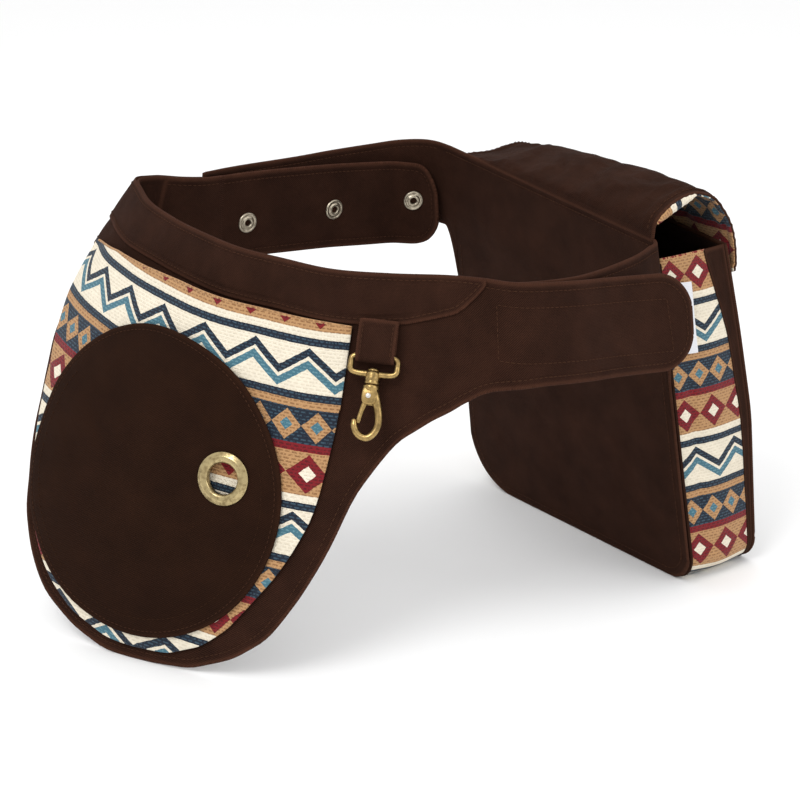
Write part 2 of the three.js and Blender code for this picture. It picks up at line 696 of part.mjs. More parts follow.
// Replaces the stations close to a press stud by the two edges of its facet.
function withSnaps(stations) {
  const clear = (u) => SNAP_PLACES.every(
    ([snap]) => Math.abs(u - snap) > SNAP_FACET + SNAP_CLEAR);
  const edges = SNAP_PLACES.flatMap(([snap]) => [snap - SNAP_FACET, snap + SNAP_FACET]);
  return [...stations.filter(clear), ...edges].sort((a, b) => a - b);
}

// Local axes: x against the stations, y down, z outward from the facet.
const snapFrames = SNAP_PLACES.map(([u, h]) => {
  const start = rear.on(u - SNAP_FACET, h);
  const end = rear.on(u + SNAP_FACET, h);
  const backward = start.clone().sub(end).normalize();
  const outward = backward.clone().cross(rear.ruling(u).down).normalize();
  const down = outward.clone().cross(backward).normalize();
  return frameMatrix(start.add(end).multiplyScalar(0.5), backward, down, outward);
});
const snapHoles = (from, to) => snapFrames.map(
  (frame) => rod(SNAP_HOLE_R, from, to, frame, 14));

// ---------------------------------------------------------------- back tail
const BACK_TAIL_ROOT = 20.62;       // stations on the rear surface
const BACK_TAIL_TIP = 14.45;
const BACK_TAIL_DROP = [            // station, distance down of the upper edge
  [14.4, 14], [15.6, 13.5], [16.5, 11], [17.3, 9],
  [18, 7], [18.8, 5], [19.6, 3], [20.7, 1.7],
];
const BACK_TAIL_STATIONS = withSnaps([
  BACK_TAIL_TIP + 0.01, BACK_TAIL_TIP + 0.05, BACK_TAIL_TIP + 0.15, 14.8, 15.0,
  ...range(16.3, 20.3, 9), BACK_TAIL_ROOT - TAIL_HINGE_GAP,
]);

function backTail() {
  const stationLength = rear.on(14.6, 30).distanceTo(rear.on(15.6, 30));
  const tipInset = (u) => cornerInset((u - BACK_TAIL_TIP) * stationLength, TAIL_TIP_RADIUS);
  const drop = (u) => lookUp(BACK_TAIL_DROP, u);
  const belt = ruledSheet(rear, {
    stations: BACK_TAIL_STATIONS,
    upper: (u) => drop(u) + tipInset(u),
    lower: (u) => drop(u) + BELT_WIDTH - tipInset(u),
    rows: 3,
    offset: BACK_TAIL_OFFSET,
    thickness: PANEL_THICKNESS,
  });
  return cut(belt, ...snapHoles(-9, -2));
}

// ---------------------------------------------------------------- rear back panel
const POUCH_NEAR_CORNER_R = 17;
const POUCH_FAR_CORNER_R = 38;
const REAR_THICKNESS = PANEL_THICKNESS - 0.2;
const REAR_BAND = BELT_WIDTH + 0.5; // height of the strip and the extension
const REAR_STATION_LENGTH = 186 / (REAR_PANEL_STATIONS - 1);
const NEAR_FLARE = 0.55;            // stations over which the band widens
const FAR_FLARE = 0.45;
const FLARE_DROP = 34;
const GROUND_CLEARANCE = 0.12;
const REAR_STATIONS = [
  ...range(0, 6, 9), 6.45, 6.7, 6.95, 7.0, 7.03, 7.1, 7.25, 7.45, 7.64,
  ...range(8.2, 12.4, 8), 12.8, 13.15, 13.45, 13.7, 13.87, 13.96, 14.0, 14.05, 14.25, 14.45,
  ...withSnaps([14.8, 15.0, ...range(16.3, 20.3, 9), 20.6, 21]),
];

function rearLower(u) {
  const beyond = Math.max((NEAR_STATION - u) / NEAR_FLARE, (u - FAR_STATION) / FAR_FLARE);
  if (beyond > 0) return REAR_BAND + Math.max(1 - beyond, 0) ** 2 * FLARE_DROP;
  const near = (u - NEAR_STATION) * REAR_STATION_LENGTH;
  const far = (FAR_STATION - u) * REAR_STATION_LENGTH;
  return rear.length(u) - GROUND_CLEARANCE - Math.max(
    cornerInset(near, POUCH_NEAR_CORNER_R), cornerInset(far, POUCH_FAR_CORNER_R));
}

// Back panel with the near strip and the far extension in one cut piece.
function rearBackPanel() {
  const panel = ruledSheet(rear, {
    stations: REAR_STATIONS,
    upper: () => 0,
    lower: rearLower,
    rows: 3,
    offset: 0,
    thickness: REAR_THICKNESS,
  });
  return cut(panel, ...snapHoles(-3, 5));
}

// Loop tape on the outer face of the near strip.
function closureLoopTape() {
  return ruledSheet(rear, {
    stations: between(REAR_STATIONS, 0.4, 3.5),
    upper: () => 9,
    lower: () => 42,
    rows: 1,
    offset: REAR_THICKNESS + GAP,
    thickness: 0.8,
  });
}

// ---------------------------------------------------------------- pouch box
// a runs 0..1 from near to far, v is 0 at the waist seam and 1 on the ground,
// depth is measured outward from the seam.
const POUCH_OUT = vec(0.7915, 0.6112, 0);   // horizontal direction of depth
const POUCH_WIDTH = 188;
const POUCH_HEIGHT = 212;
const POUCH_RIM_DROP = 12;          // pouch mouth below the waist seam
const POUCH_DEPTH = [[0, 52.5], [0.3, 57.5], [0.55, 60], [1, 52]];   // v, depth
const GUSSET_THICKNESS = 1.6;
const BOX_BACK = PANEL_THICKNESS + 2.3;     // room for the corded seam
const FRONT_THICKNESS = 1.8;
const FRONT_CROWN = 5;
const FRONT_COLUMNS = [             // a
  0, 0.012, 0.04, 0.09, ...range(0.16, 0.8, 7), 0.86, 0.91, 0.95, 0.98, 1,
];
const LINING_THICKNESS = 0.8;
const LINING_LEVELS_BELOW_RIM = [0.25, 0.45, 0.65, 0.82, 0.9, 0.95, 0.972];   // v
const rimV = POUCH_RIM_DROP / POUCH_HEIGHT;

function seam(a) {
  return vec(...mixRows(REAR_NEAR, REAR_FAR, a).slice(0, 3));
}

function onPanel(a, v, depth) {
  const [, , , footX, footY] = mixRows(REAR_NEAR, REAR_FAR, a);
  return seam(a).lerp(vec(footX, footY, 0), v).addScaledVector(POUCH_OUT, depth);
}

const depthAt = (v) => lookUp(POUCH_DEPTH, v);

// Outline of the gusset as [a, v]: near rim -> bottom -> far rim.
function outline(inset) {
  const near = inset;
  const far = POUCH_WIDTH - inset;
  const bottom = POUCH_HEIGHT - inset;
  const nearR = POUCH_NEAR_CORNER_R - inset;
  const farR = POUCH_FAR_CORNER_R - inset;
  const quarter = (steps) => range(0, Math.PI / 2, steps).slice(1);
  return [
    ...range(POUCH_RIM_DROP, bottom - nearR, 6).map((y) => [near, y]),
    ...quarter(4).map((angle) => [
      near + nearR - nearR * Math.cos(angle), bottom - nearR + nearR * Math.sin(angle)]),
    ...range(near + nearR, far - farR, 5).slice(1).map((x) => [x, bottom]),
    ...quarter(6).map((angle) => [
      far - farR + farR * Math.sin(angle), bottom - farR + farR * Math.cos(angle)]),
    ...range(bottom - farR, POUCH_RIM_DROP, 6).slice(1).map((y) => [far, y]),
  ].map(([x, y]) => [x / POUCH_WIDTH, y / POUCH_HEIGHT]);
}

function rearGusset() {
  const rows = 3;
  const outerLine = outline(0);
  const face = (line) => (i, j) => {
    const [a, v] = line[i];
    return onPanel(a, v, BOX_BACK + (depthAt(v) - 0.9 - BOX_BACK) * (j / rows));
  };
  return sheet(outerLine.length - 1, rows, face(outerLine), face(outline(GUSSET_THICKNESS)));
}

// Inner face of the crowned pouch front.
function pouchFace(a, v, offset = 0) {
  const crown = FRONT_CROWN * Math.sin(Math.PI * a) * Math.sin(Math.PI * clampUnit(v)) ** 0.8;
  return onPanel(a, v, depthAt(v) + crown + offset);
}

function rearFrontPanel() {
  const rows = 7;
  const lowerV = (a) => 1 - Math.max(
    cornerInset(a * POUCH_WIDTH, POUCH_NEAR_CORNER_R),
    cornerInset((1 - a) * POUCH_WIDTH, POUCH_FAR_CORNER_R)) / POUCH_HEIGHT;
  const face = (offset) => (i, j) => {
    const a = FRONT_COLUMNS[i];
    return pouchFace(a, rimV + (lowerV(a) - rimV) * (j / rows), offset);
  };
  return sheet(FRONT_COLUMNS.length - 1, rows, face(FRONT_THICKNESS), face(0));
}

// Level section of the lining: along the back, then back along the front.
function liningRing(v, inset) {
  const side = GUSSET_THICKNESS + GAP + inset;
  const rise = POUCH_HEIGHT - GUSSET_THICKNESS - GAP - v * POUCH_HEIGHT;
  const sideAt = (radius) => side + cornerInset(rise, radius - GUSSET_THICKNESS);
  const near = sideAt(POUCH_NEAR_CORNER_R) / POUCH_WIDTH;
  const far = (POUCH_WIDTH - sideAt(POUCH_FAR_CORNER_R)) / POUCH_WIDTH;
  const row = (from, to, depth) => range(0, 1, 5)
    .map((t) => onPanel(from + (to - from) * t, v, depth));
  return [
    ...row(near, far, BOX_BACK + 0.4 + inset),
    ...row(far, near, depthAt(v) - 0.8 - inset),
  ];
}

// Lining bag: an open-topped shell just inside the panels and the gusset. Its
// rings run up the outside and down the inside; the two end rings are capped.
function rearLining() {
  const levels = [rimV + 0.004, ...LINING_LEVELS_BELOW_RIM];
  const floor = levels.length - 1;
  const rings = [
    ...levels.map((v) => liningRing(v, 0)).reverse(),
    ...levels.map((v, k) => liningRing(k === floor ? v - 0.005 : v, LINING_THICKNESS)),
  ];
  const count = rings[0].length;
  const index = [];
  for (let r = 0; r < rings.length - 1; r++) {
    for (let k = 0; k < count; k++) {
      const a = r * count + k;
      const b = r * count + ((k + 1) % count);
      index.push(a, b, b + count, a, b + count, a + count);
    }
  }
  const cap = (r, flip) => {
    for (let k = 0; k < count / 2 - 1; k++) {
      const a = r * count + k;
      const b = a + 1;
      const c = r * count + (count - 2 - k);
      const d = c + 1;
      if (flip) index.push(a, c, b, a, d, c);
      else index.push(a, b, c, a, c, d);
    }
  };
  cap(0, true);
  cap(rings.length - 1, false);
  return closed(rings.flat().flatMap((point) => point.toArray()), index);
}

// Corded seam along the edge where gusset and back panel meet.
function rearSeamCord() {
  const path = outline(-0.2).slice(1)
    .map(([a, v]) => onPanel(a, Math.min(v, 0.99), BOX_BACK - 1.15).toArray());
  return wire(path, 0.85, new THREE.Matrix4(), 44, 6);
}

// ---------------------------------------------------------------- flap
const FLAP_NEAR = 0.002;            // a of its two sides
const FLAP_FAR = 0.95;
// Over the mouth and down the outside, from the seam: depth, height, share of
// the dome in the height, and how much belly adds to the depth in the middle.
const FLAP_PROFILE = [
  [2.2, 1.5, 0, 0], [4.2, 11, 1, 0], [13.5, 17, 1, 0], [26, 20.5, 1, 0],
  [37, 19.6, 1, 0], [46, 13.6, 1, 0], [54.5, 0.8, 0.6, 0.4], [59.2, -10, 0, 1.2],
  [62.2, -24, 0, 2.2],
];
// Along the flap, 0 near and 1 far: height factor, and height of the hem.
const FLAP_DOME = [
  [0, 1], [0.1, 1], [0.22, 0.95], [0.45, 0.69], [0.75, 0.34], [0.9, 0.05], [1, -0.3],
];
const FLAP_HEM = [
  [0, -27], [0.12, -38], [0.3, -58], [0.5, -66], [0.7, -58], [0.88, -38], [1, -27],
];
const FLAP_ROWS = FLAP_PROFILE.length + 1;  // two more points lead to the hem
const FLAP_COLUMNS = range(FLAP_NEAR, FLAP_FAR, 12);

function flapPoint(a, row, offset) {
  const t = (a - FLAP_NEAR) / (FLAP_FAR - FLAP_NEAR);
  const belly = Math.sin(Math.PI * t);
  const dome = lookUp(FLAP_DOME, t);
  const hem = lookUp(FLAP_HEM, t);
  const profile = FLAP_PROFILE.map(([depth, z, share, bulge]) => [
    depth + bulge * belly, z * (1 - share + share * dome)]);
  const [lastDepth, lastZ] = profile[profile.length - 1];
  const slope = (z) => lastDepth + (lastZ - z) * (0.16 + 0.25 * belly);
  const middle = (hem + lastZ) / 2;
  profile.push([slope(middle), middle - 0.5], [slope(hem - 1.5), hem - 1.5]);
  const at = (k) => seam(a).addScaledVector(POUCH_OUT, profile[k][0])
    .add(vec(0, 0, profile[k][1]));
  const before = at(Math.max(row - 1, 0));
  const after = at(Math.min(row + 1, profile.length - 1));
  const along = seam(1).sub(seam(0)).normalize();
  return at(row).addScaledVector(after.sub(before).cross(along).normalize(), offset);
}

// Layer of the flap between two offsets, from a row of the profile to the hem.
function flapLayer(firstRow, outer, inner) {
  const face = (offset) => (i, j) => flapPoint(FLAP_COLUMNS[i], j + firstRow, offset);
  return sheet(FLAP_COLUMNS.length - 1, FLAP_ROWS - firstRow, face(outer), face(inner));
}

// ---------------------------------------------------------------- magnets, label
const MAGNET_A = 0.48;
const MAGNET_V = 0.238;
const MAGNET_R = 6.5;
const LABEL = {
  topV: 0.125, heightV: 0.2,        // place down the panel
  depth: BOX_BACK + 6, width: 8.5,  // place across the gusset
  standOff: 0.9, curl: 2.6, curlAngle: 1.3, thickness: 0.35,
};

// Origin on the outer face of the pouch front, z outward.
function magnetFrame() {
  const step = 0.04;
  const across = pouchFace(MAGNET_A + step, MAGNET_V)
    .sub(pouchFace(MAGNET_A - step, MAGNET_V));
  const down = pouchFace(MAGNET_A, MAGNET_V + step)
    .sub(pouchFace(MAGNET_A, MAGNET_V - step));
  const outward = down.cross(across).normalize();
  const up = vec(0, 0, 1).addScaledVector(outward, -outward.z).normalize();
  return frameMatrix(pouchFace(MAGNET_A, MAGNET_V, FRONT_THICKNESS),
    up.clone().cross(outward), up, outward);
}

const magnet = (from, to) => rod(MAGNET_R, from, to, magnetFrame(), 20);

// Blank label on the near side of the pouch, curling away towards its outer edge.
function careLabel() {
  const [columns, rows] = [3, 4];
  const sideways = vec(POUCH_OUT.y, -POUCH_OUT.x, 0);
  const face = (extra) => (i, j) => {
    const across = i / columns;
    const v = LABEL.topV + LABEL.heightV * (j / rows);
    const off = LABEL.standOff + LABEL.curl * Math.sin(across * LABEL.curlAngle) + extra;
    return onPanel(0, v, LABEL.depth + LABEL.width * across).addScaledVector(sideways, off);
  };
  return sheet(columns, rows, face(LABEL.thickness), face(0));
}

// ---------------------------------------------------------------- assembly
const group = new THREE.Group();

function add(name, geometry, finish) {
  const mesh = new THREE.Mesh(geometry, new THREE.MeshStandardMaterial(finish));
  mesh.name = name;
  group.add(mesh);
}

add('front_panel', frontPanel(), FINISH.canvas);
add('waistband_facing', waistbandFacing(), FINISH.canvas);
add('treat_pocket_lining', treatPocketLining(), FINISH.lining);
add('treat_pocket', treatPocket(), FINISH.print);
add('bag_dispenser_patch', bagDispenserPatch(), FINISH.canvas);
add('dispenser_eyelet', turned(EYELET_PROFILE, eyeletFrame, 36), FINISH.brass);

add('hook_tab', hookTab(), FINISH.canvas);
add('snap_hook_bow', snapHookBow(), FINISH.brass);
add('snap_hook_body', snapHookBody(), FINISH.brass);
add('gate_pin', rod(PIN_R, -3.2, 3.2, pinFrame, 12), FINISH.pin);
add('snap_hook_gate', snapHookGate(), FINISH.brass);
add('gate_spring', gateSpring(), FINISH.spring);

add('front_tail', frontTail(), FINISH.canvas);
add('closure_hook_tape', closureHookTape(), FINISH.tape);
add('back_tail', backTail(), FINISH.canvas);
snapFrames.forEach((frame, k) => {
  add(`press_stud_${k + 1}`, turned(STUD_PROFILE, frame, 16), FINISH.stud);
});
add('rear_back_panel', rearBackPanel(), FINISH.canvas);
snapFrames.forEach((frame, k) => {
  add(`press_socket_${k + 1}`, turned(SOCKET_PROFILE, frame, 16), FINISH.stud);
});
add('closure_loop_tape', closureLoopTape(), FINISH.tape);

add('rear_gusset', rearGusset(), FINISH.print);
add('rear_front_panel', rearFrontPanel(), FINISH.canvas);
add('rear_lining', rearLining(), FINISH.lining);
add('rear_seam_cord', rearSeamCord(), FINISH.canvas);
add('rear_flap', flapLayer(0, 1.4, 0), FINISH.canvas);
add('rear_flap_lining', flapLayer(1, -0.3, -1.0), FINISH.print);
add('pouch_magnet', magnet(0.5, 1.5), FINISH.magnet);
add('flap_magnet', magnet(1.9, 2.8), FINISH.magnet);
add('care_label', careLabel(), FINISH.label);

group.position.set(...ORIGIN).negate();

export default group;
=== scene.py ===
"""Hip belt with two pouches, standing on the ground with its waist line level, +Z up.

The fabric lies on two ruled surfaces, one per unit. A station counts along the waist line,
a drop is mm down a ruling and a lift is mm along the outward normal. The front unit lies on
the -X -Y side, the rear unit on the +X +Y side. "Near" ends are towards -Y, "far" ends
towards +Y. Shapes are in table millimetres and are turned into metres by to_frame().
"""
import json
import math

import bpy
import numpy as np
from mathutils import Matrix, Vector


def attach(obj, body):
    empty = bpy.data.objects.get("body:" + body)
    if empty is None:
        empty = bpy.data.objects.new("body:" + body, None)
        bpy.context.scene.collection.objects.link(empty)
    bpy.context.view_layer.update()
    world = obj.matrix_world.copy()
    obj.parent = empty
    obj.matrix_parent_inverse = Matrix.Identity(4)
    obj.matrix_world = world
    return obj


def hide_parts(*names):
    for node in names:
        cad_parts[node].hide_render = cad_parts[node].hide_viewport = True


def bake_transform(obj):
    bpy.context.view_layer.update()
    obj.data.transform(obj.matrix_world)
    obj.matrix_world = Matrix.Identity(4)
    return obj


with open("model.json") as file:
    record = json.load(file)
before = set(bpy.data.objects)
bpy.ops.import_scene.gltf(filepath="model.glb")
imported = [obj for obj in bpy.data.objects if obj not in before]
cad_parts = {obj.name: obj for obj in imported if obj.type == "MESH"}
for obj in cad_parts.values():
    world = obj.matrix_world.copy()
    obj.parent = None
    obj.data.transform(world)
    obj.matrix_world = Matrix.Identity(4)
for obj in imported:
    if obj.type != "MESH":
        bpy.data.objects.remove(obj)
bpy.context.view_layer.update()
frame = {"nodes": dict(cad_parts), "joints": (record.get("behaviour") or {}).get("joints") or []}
JOINTS = {joint["name"]: joint for joint in frame["joints"]}

# ------------------------------------------------------------------ dimensions, mm
ORIGIN = np.array([1.25, 28.65, 0.0])       # the frame's origin in table coordinates

# Rulings, one per station: x, y, z at the waist line, then x, y on the ground.
FRONT_LINE = [
    [-98.6, 77.2, 218.6, -110.0, 92.5], [-110.2, 67.3, 219.4, -124.5, 84.5],
    [-123.0, 60.6, 220.8, -158.0, 92.0], [-137.0, 59.8, 221.8, -216.0, 95.0],
    [-146.6, 53.0, 222.0, -300.0, 30.0], [-142.8, 34.5, 221.0, -310.3, -7.4],
    [-135.4, 12.0, 219.5, -276.7, -25.2], [-124.2, -7.5, 218.0, -244.9, -42.0],
    [-110.1, -27.2, 216.5, -210.5, -60.2], [-83.6, -57.6, 214.5, -153.4, -90.5],
    [-58.6, -74.6, 213.0, -110.5, -113.2], [-33.7, -90.1, 212.0, -69.0, -135.2],
    [-5.0, -94.5, 211.0, -28.0, -156.9], [24.0, -94.6, 210.0, 30.0, -175.0],
    [42.5, -96.5, 209.0, 48.5, -156.1], [60.8, -100.9, 208.0, 73.4, -151.2],
    [87.5, -85.8, 204.5, 109.1, -123.5], [108.2, -64.9, 200.0, 132.1, -95.6],
    [128.2, -47.9, 196.5, 147.1, -77.0], [152.7, -33.1, 194.0, 168.0, -59.7]]
REAR_STRIP = [
    [25.0, -89.0, 208.0, 30.5, -144.5], [42.0, -91.8, 207.5, 47.1, -143.2],
    [59.7, -96.3, 207.0, 71.3, -142.6], [85.1, -81.7, 205.0, 106.9, -119.5],
    [103.0, -62.0, 203.5, 129.9, -85.7], [121.5, -39.0, 203.5, 149.4, -55.2],
    [131.5, -22.0, 203.8, 160.5, -31.2]]
REAR_EXTENSION = [
    [17.0, 158.5, 220.2, 24.4, 178.4], [0.0, 157.0, 220.5, -5.2, 173.5],
    [-17.6, 146.0, 220.5, -25.3, 159.4], [-40.0, 130.5, 220.5, -48.9, 143.0],
    [-62.0, 113.0, 220.5, -72.4, 126.9], [-94.0, 91.0, 220.5, -105.6, 106.4],
    [-112.0, 75.5, 220.5, -125.2, 92.1]]
# Corners of the flat rear panel between the two strips above.
NEAR_TOP, FAR_TOP = np.array([136.5, -7, 204.0]), np.array([30, 147, 219.0])
NEAR_FOOT, FAR_FOOT = np.array([166, -7, 0.0]), np.array([47.5, 157, 0.0])
FLAT_STEPS = 7

PANEL_T = 2.0
BELT_WIDTH = 50.5
TIP_R = 21.0                                # round end of each belt tail
FRONT_TAIL_ROOT = 14.15                     # station
BACK_TAIL_ROOT, BACK_TAIL_TIP = 20.62, 14.45
BACK_LIFT = -6.4

# Edges of the belt and pocket: station, drop.
BACK_TAIL_DROP = [[14.4, 14], [15.6, 13.5], [16.5, 11], [17.3, 9], [18, 7], [18.8, 5],
                  [19.6, 3], [20.7, 1.7]]
PANEL_LOWER = [
    [0, 51], [1, 50.5], [2, 50], [3, 47], [4, 43], [4.6, 41], [4.9, 46], [5.25, 66], [5.6, 90],
    [6.1, 113], [6.5, 137], [7, 163], [7.3, 180], [7.8, 199.5], [8.2, 215], [8.55, 224],
    [8.9, 228], [9.5, 224.6], [10, 220.5], [10.5, 208.5], [10.9, 193], [11.3, 164.6],
    [11.6, 138.6], [11.8, 113.6], [12.1, 94.2], [12.3, 82.4], [12.7, 71.4], [13.2, 62.9],
    [13.7, 57.8], [14.15, 54.8], [14.7, 52.4], [15.3, 50.5], [16.6, 50.5], [19, 51]]
POCKET_UPPER = [[4.85, 37], [6.3, 30.4], [7.7, 28], [8.5, 26.2], [9.2, 26], [10.2, 26],
                [11, 26], [11.48, 27]]
POCKET_LOWER = [
    [4.85, 39], [5.0, 46], [5.3, 68.6], [5.6, 83.2], [6.1, 105.2], [6.5, 129.3], [7, 155.2],
    [7.3, 171.1], [7.8, 190.6], [8.2, 206.2], [8.5, 216], [8.9, 221], [9.2, 220], [9.7, 216.5],
    [10.1, 207], [10.4, 193.4], [10.6, 179.8], [10.9, 160.6], [11.1, 144.9], [11.3, 126.3],
    [11.4, 106], [11.48, 70]]
FACING_TURN = 11.9                          # station where the facing's edge turns up
FACING_END = [[11.9, 24.6], [12.3, 24.0], [13.15, 18.0], [13.72, 9.0], [14.05, 2.4]]
FACING_T = 1.25
POCKET_FIRST, POCKET_LAST = 4.85, 11.48     # stations
POCKET_FULLNESS = 14.0
POCKET_LINING_LIFT = PANEL_T + 0.3
POCKET_LIFT = POCKET_LINING_LIFT + 0.9
DISK_STATION, DISK_DROP, DISK_R = 8.88, 132.3, 81.2
DISK_T, DISK_FULLNESS = 1.5, 3.5
EYELET_STATION, EYELET_DROP = 10.05, 115.3
EYELET_BORE, EYELET_FLANGE = 8.3, 14.0      # radii
TAB_STATION, TAB_TOP, TAB_LENGTH, TAB_WIDTH = 11.93, 26, 18.4, 19.6
SNAPS = [(19.9, 32.3), (18.1, 33.9), (15.6, 36.2)]      # station, drop

# Rear pouch
OUT = np.array([0.7915, 0.6112, 0.0])       # outward from the flat rear panel
WIDTH, HEIGHT = 188.0, 212.0
RIM_LEVEL = 12.0 / HEIGHT                   # the pouch mouth, as a share of the height
POUCH_DEPTH = [[0, 52.5], [0.3, 57.5], [0.55, 60], [1, 52]]     # level, mm from the panel
R_NEAR, R_FAR = 17.0, 38.0                  # lower corners
PANEL_BACK = PANEL_T + 2.3
REAR_T = 1.8


# ------------------------------------------------------------------ numbers
def lookup(table, x):
    columns = np.array(table, float)
    return np.interp(x, columns[:, 0], columns[:, 1])


def rounded(table, x, soft):
    """The table at x with its corners rounded over soft, mirrored past both ends."""
    x = np.asarray(x, float)
    taps = np.linspace(-1, 1, 9)
    weights = np.exp(-3 * taps * taps)
    low, high = table[0][0], table[-1][0]
    total = 0
    for tap, weight in zip(taps, weights):
        here = x + tap * soft
        below, above = here < low, here > high
        value = lookup(table, np.where(below, 2 * low - here, np.where(above, 2 * high - here, here)))
        value = np.where(below, 2 * lookup(table, low) - value,
                         np.where(above, 2 * lookup(table, high) - value, value))
        total = total + weight * value
    return total / weights.sum()


def unit(vector):
    return vector / np.maximum(np.linalg.norm(vector, axis=-1, keepdims=True), 1e-12)


def catmull(points, x):
    """Catmull-Rom through the rows of points at row number x."""
    points = np.array(points, float)
    last = len(points) - 1
    x = np.clip(np.asarray(x, float), 0, last)
    i = np.minimum(np.floor(x).astype(int), last - 1)
    t = (x - i)[..., None]
    p1, p2 = points[i], points[i + 1]
    p0 = np.where((i > 0)[..., None], points[np.maximum(i - 1, 0)], 2 * p1 - p2)
    p3 = np.where((i < last - 1)[..., None], points[np.minimum(i + 2, last)], 2 * p2 - p1)
    return 0.5 * (2 * p1 + (p2 - p0) * t + (2 * p0 - 5 * p1 + 4 * p2 - p3) * t ** 2
                  + (3 * p1 - p0 - 3 * p2 + p3) * t ** 3)


def smooth_path(points, count):
    return catmull(points, np.linspace(0, len(points) - 1, count))


def run_length(path):
    """Distance along a path at each of its points."""
    steps = np.linalg.norm(np.diff(path, axis=0), axis=1)
    return np.concatenate([[0], np.cumsum(steps)])


def sample(path, lengths, at):
    return np.stack([np.interp(at, lengths, path[:, k]) for k in range(3)], 1)


class Ruled:
    """A surface of straight rulings; between two flat stations it is a plane."""

    def __init__(self, rulings, flat=None):
        self.rulings = np.array(rulings, float)
        self.last = len(rulings) - 1
        self.flat = flat

    def ruling(self, station):
        """Top point and the vector from it to the ground."""
        station = np.asarray(station, float)
        row = catmull(self.rulings, station)
        if self.flat:
            first, last = self.flat
            t = np.clip((station - first) / (last - first), 0, 1)[..., None]
            straight = self.rulings[first] + (self.rulings[last] - self.rulings[first]) * t
            row = np.where(((station > first) & (station < last))[..., None], straight, row)
        return row[..., :3], np.stack([row[..., 3] - row[..., 0], row[..., 4] - row[..., 1],
                                       -row[..., 2]], -1)

    def down(self, station):
        return unit(self.ruling(station)[1])

    def on(self, station, drop):
        top, vector = self.ruling(station)
        return top + unit(vector) * np.asarray(drop, float)[..., None]

    def normal(self, station, drop, reach=0.06):
        station = np.asarray(station, float)
        along = (self.on(np.minimum(station + reach, self.last), drop)
                 - self.on(np.maximum(station - reach, 0), drop))
        return unit(np.cross(self.down(station), along))

    def at(self, station, drop, lift):
        station, drop, lift = np.broadcast_arrays(
            np.asarray(station, float), np.asarray(drop, float), np.asarray(lift, float))
        return self.on(station, drop) + self.normal(station, drop) * lift[..., None]

    def arc(self, station, drop=25.0):
        """Distance along the surface at one drop."""
        fine = np.linspace(0, self.last, 2000)
        return np.interp(station, fine, run_length(self.on(fine, np.full(2000, float(drop)))))

    def pattern(self, station, drop, arc_drop):
        """Cloth coordinates: distance along and drop."""
        return np.stack([self.arc(station, arc_drop), drop], -1)


FRONT = Ruled(FRONT_LINE)
NEAR_STATION = len(REAR_STRIP)
FAR_STATION = NEAR_STATION + FLAT_STEPS
flat_rulings = []
for k in range(FLAT_STEPS + 1):
    t = k / FLAT_STEPS
    foot = NEAR_FOOT + (FAR_FOOT - NEAR_FOOT) * t
    flat_rulings.append([*(NEAR_TOP + (FAR_TOP - NEAR_TOP) * t), foot[0], foot[1]])
REAR = Ruled(REAR_STRIP + flat_rulings + REAR_EXTENSION, (NEAR_STATION, FAR_STATION))


def to_frame(point):
    """Table millimetres to frame metres."""
    return (np.asarray(point, float) - ORIGIN) * 0.001


random = np.random.RandomState(7)
WAVE_VECTORS = random.uniform(-1, 1, (10, 2))
WAVE_PHASES = random.uniform(0, 6.28, (10,))


def ripple(x, y, wave, seed):
    """Smooth wave field about +-1 over two coordinates in mm."""
    total = 0
    for i in range(6):
        turn = WAVE_VECTORS[(i + seed) % 10] * 2 * math.pi / wave * (1 + 0.35 * i)
        phase = WAVE_PHASES[(i * 3 + seed) % 10]
        total = total + np.sin(turn[0] * x + turn[1] * y + phase) / (1 + 0.45 * i)
    return total / 2.6


# ------------------------------------------------------------------ meshes
INLAND = 5.0        # edge attribute of pieces without a worn edge


def mesh_object(name, vertices, faces, attributes, smooth=True):
    mesh = bpy.data.meshes.new(name)
    vertices = np.array(vertices, float)
    vertices[:, 2] = np.maximum(vertices[:, 2], 0.0)          # it rests on the ground
    mesh.from_pydata([tuple(v) for v in vertices], [], [tuple(int(i) for i in f) for f in faces])
    mesh.validate()
    for key, values in attributes.items():
        values = np.asarray(values, np.float32)
        kind, field = ("FLOAT_VECTOR", "vector") if values.ndim == 2 else ("FLOAT", "value")
        mesh.attributes.new(key, kind, "POINT").data.foreach_set(field, values.ravel())
    if smooth:
        mesh.polygons.foreach_set("use_smooth", [True] * len(mesh.polygons))
    mesh.update()
    ob = bpy.data.objects.new(name, mesh)
    bpy.context.scene.collection.objects.link(ob)
    return ob


def outward_faces(vertices, faces):
    """The faces, reversed if the closed piece is inside out."""
    triangles = np.array([(f[0], f[k], f[k + 1]) for f in faces for k in range(1, len(f) - 1)])
    a, b, c = (vertices[triangles[:, k]] for k in range(3))
    if float(np.einsum("ij,ij->i", a, np.cross(b, c)).sum()) < 0:
        return [tuple(reversed(f)) for f in faces]
    return faces


def closed_mesh(name, vertices, faces, attributes, smooth=True):
    """Object from table millimetres, its faces turned outwards."""
    vertices = to_frame(vertices)
    return mesh_object(name, vertices, outward_faces(vertices, faces), attributes, smooth)


def edge_distance(points, outline):
    """Distance of each point to the closest point of a closed outline, in blocks."""
    out = np.full(len(points), 1e9)
    for k in range(0, len(points), 4000):
        block = points[k:k + 4000, None, :] - outline[None, :, :]
        out[k:k + 4000] = np.linalg.norm(block, axis=2).min(1)
    return out


def pad(pattern):
    """Cloth coordinates with a third column of zeros."""
    return np.hstack([pattern, np.zeros((len(pattern), 1))])


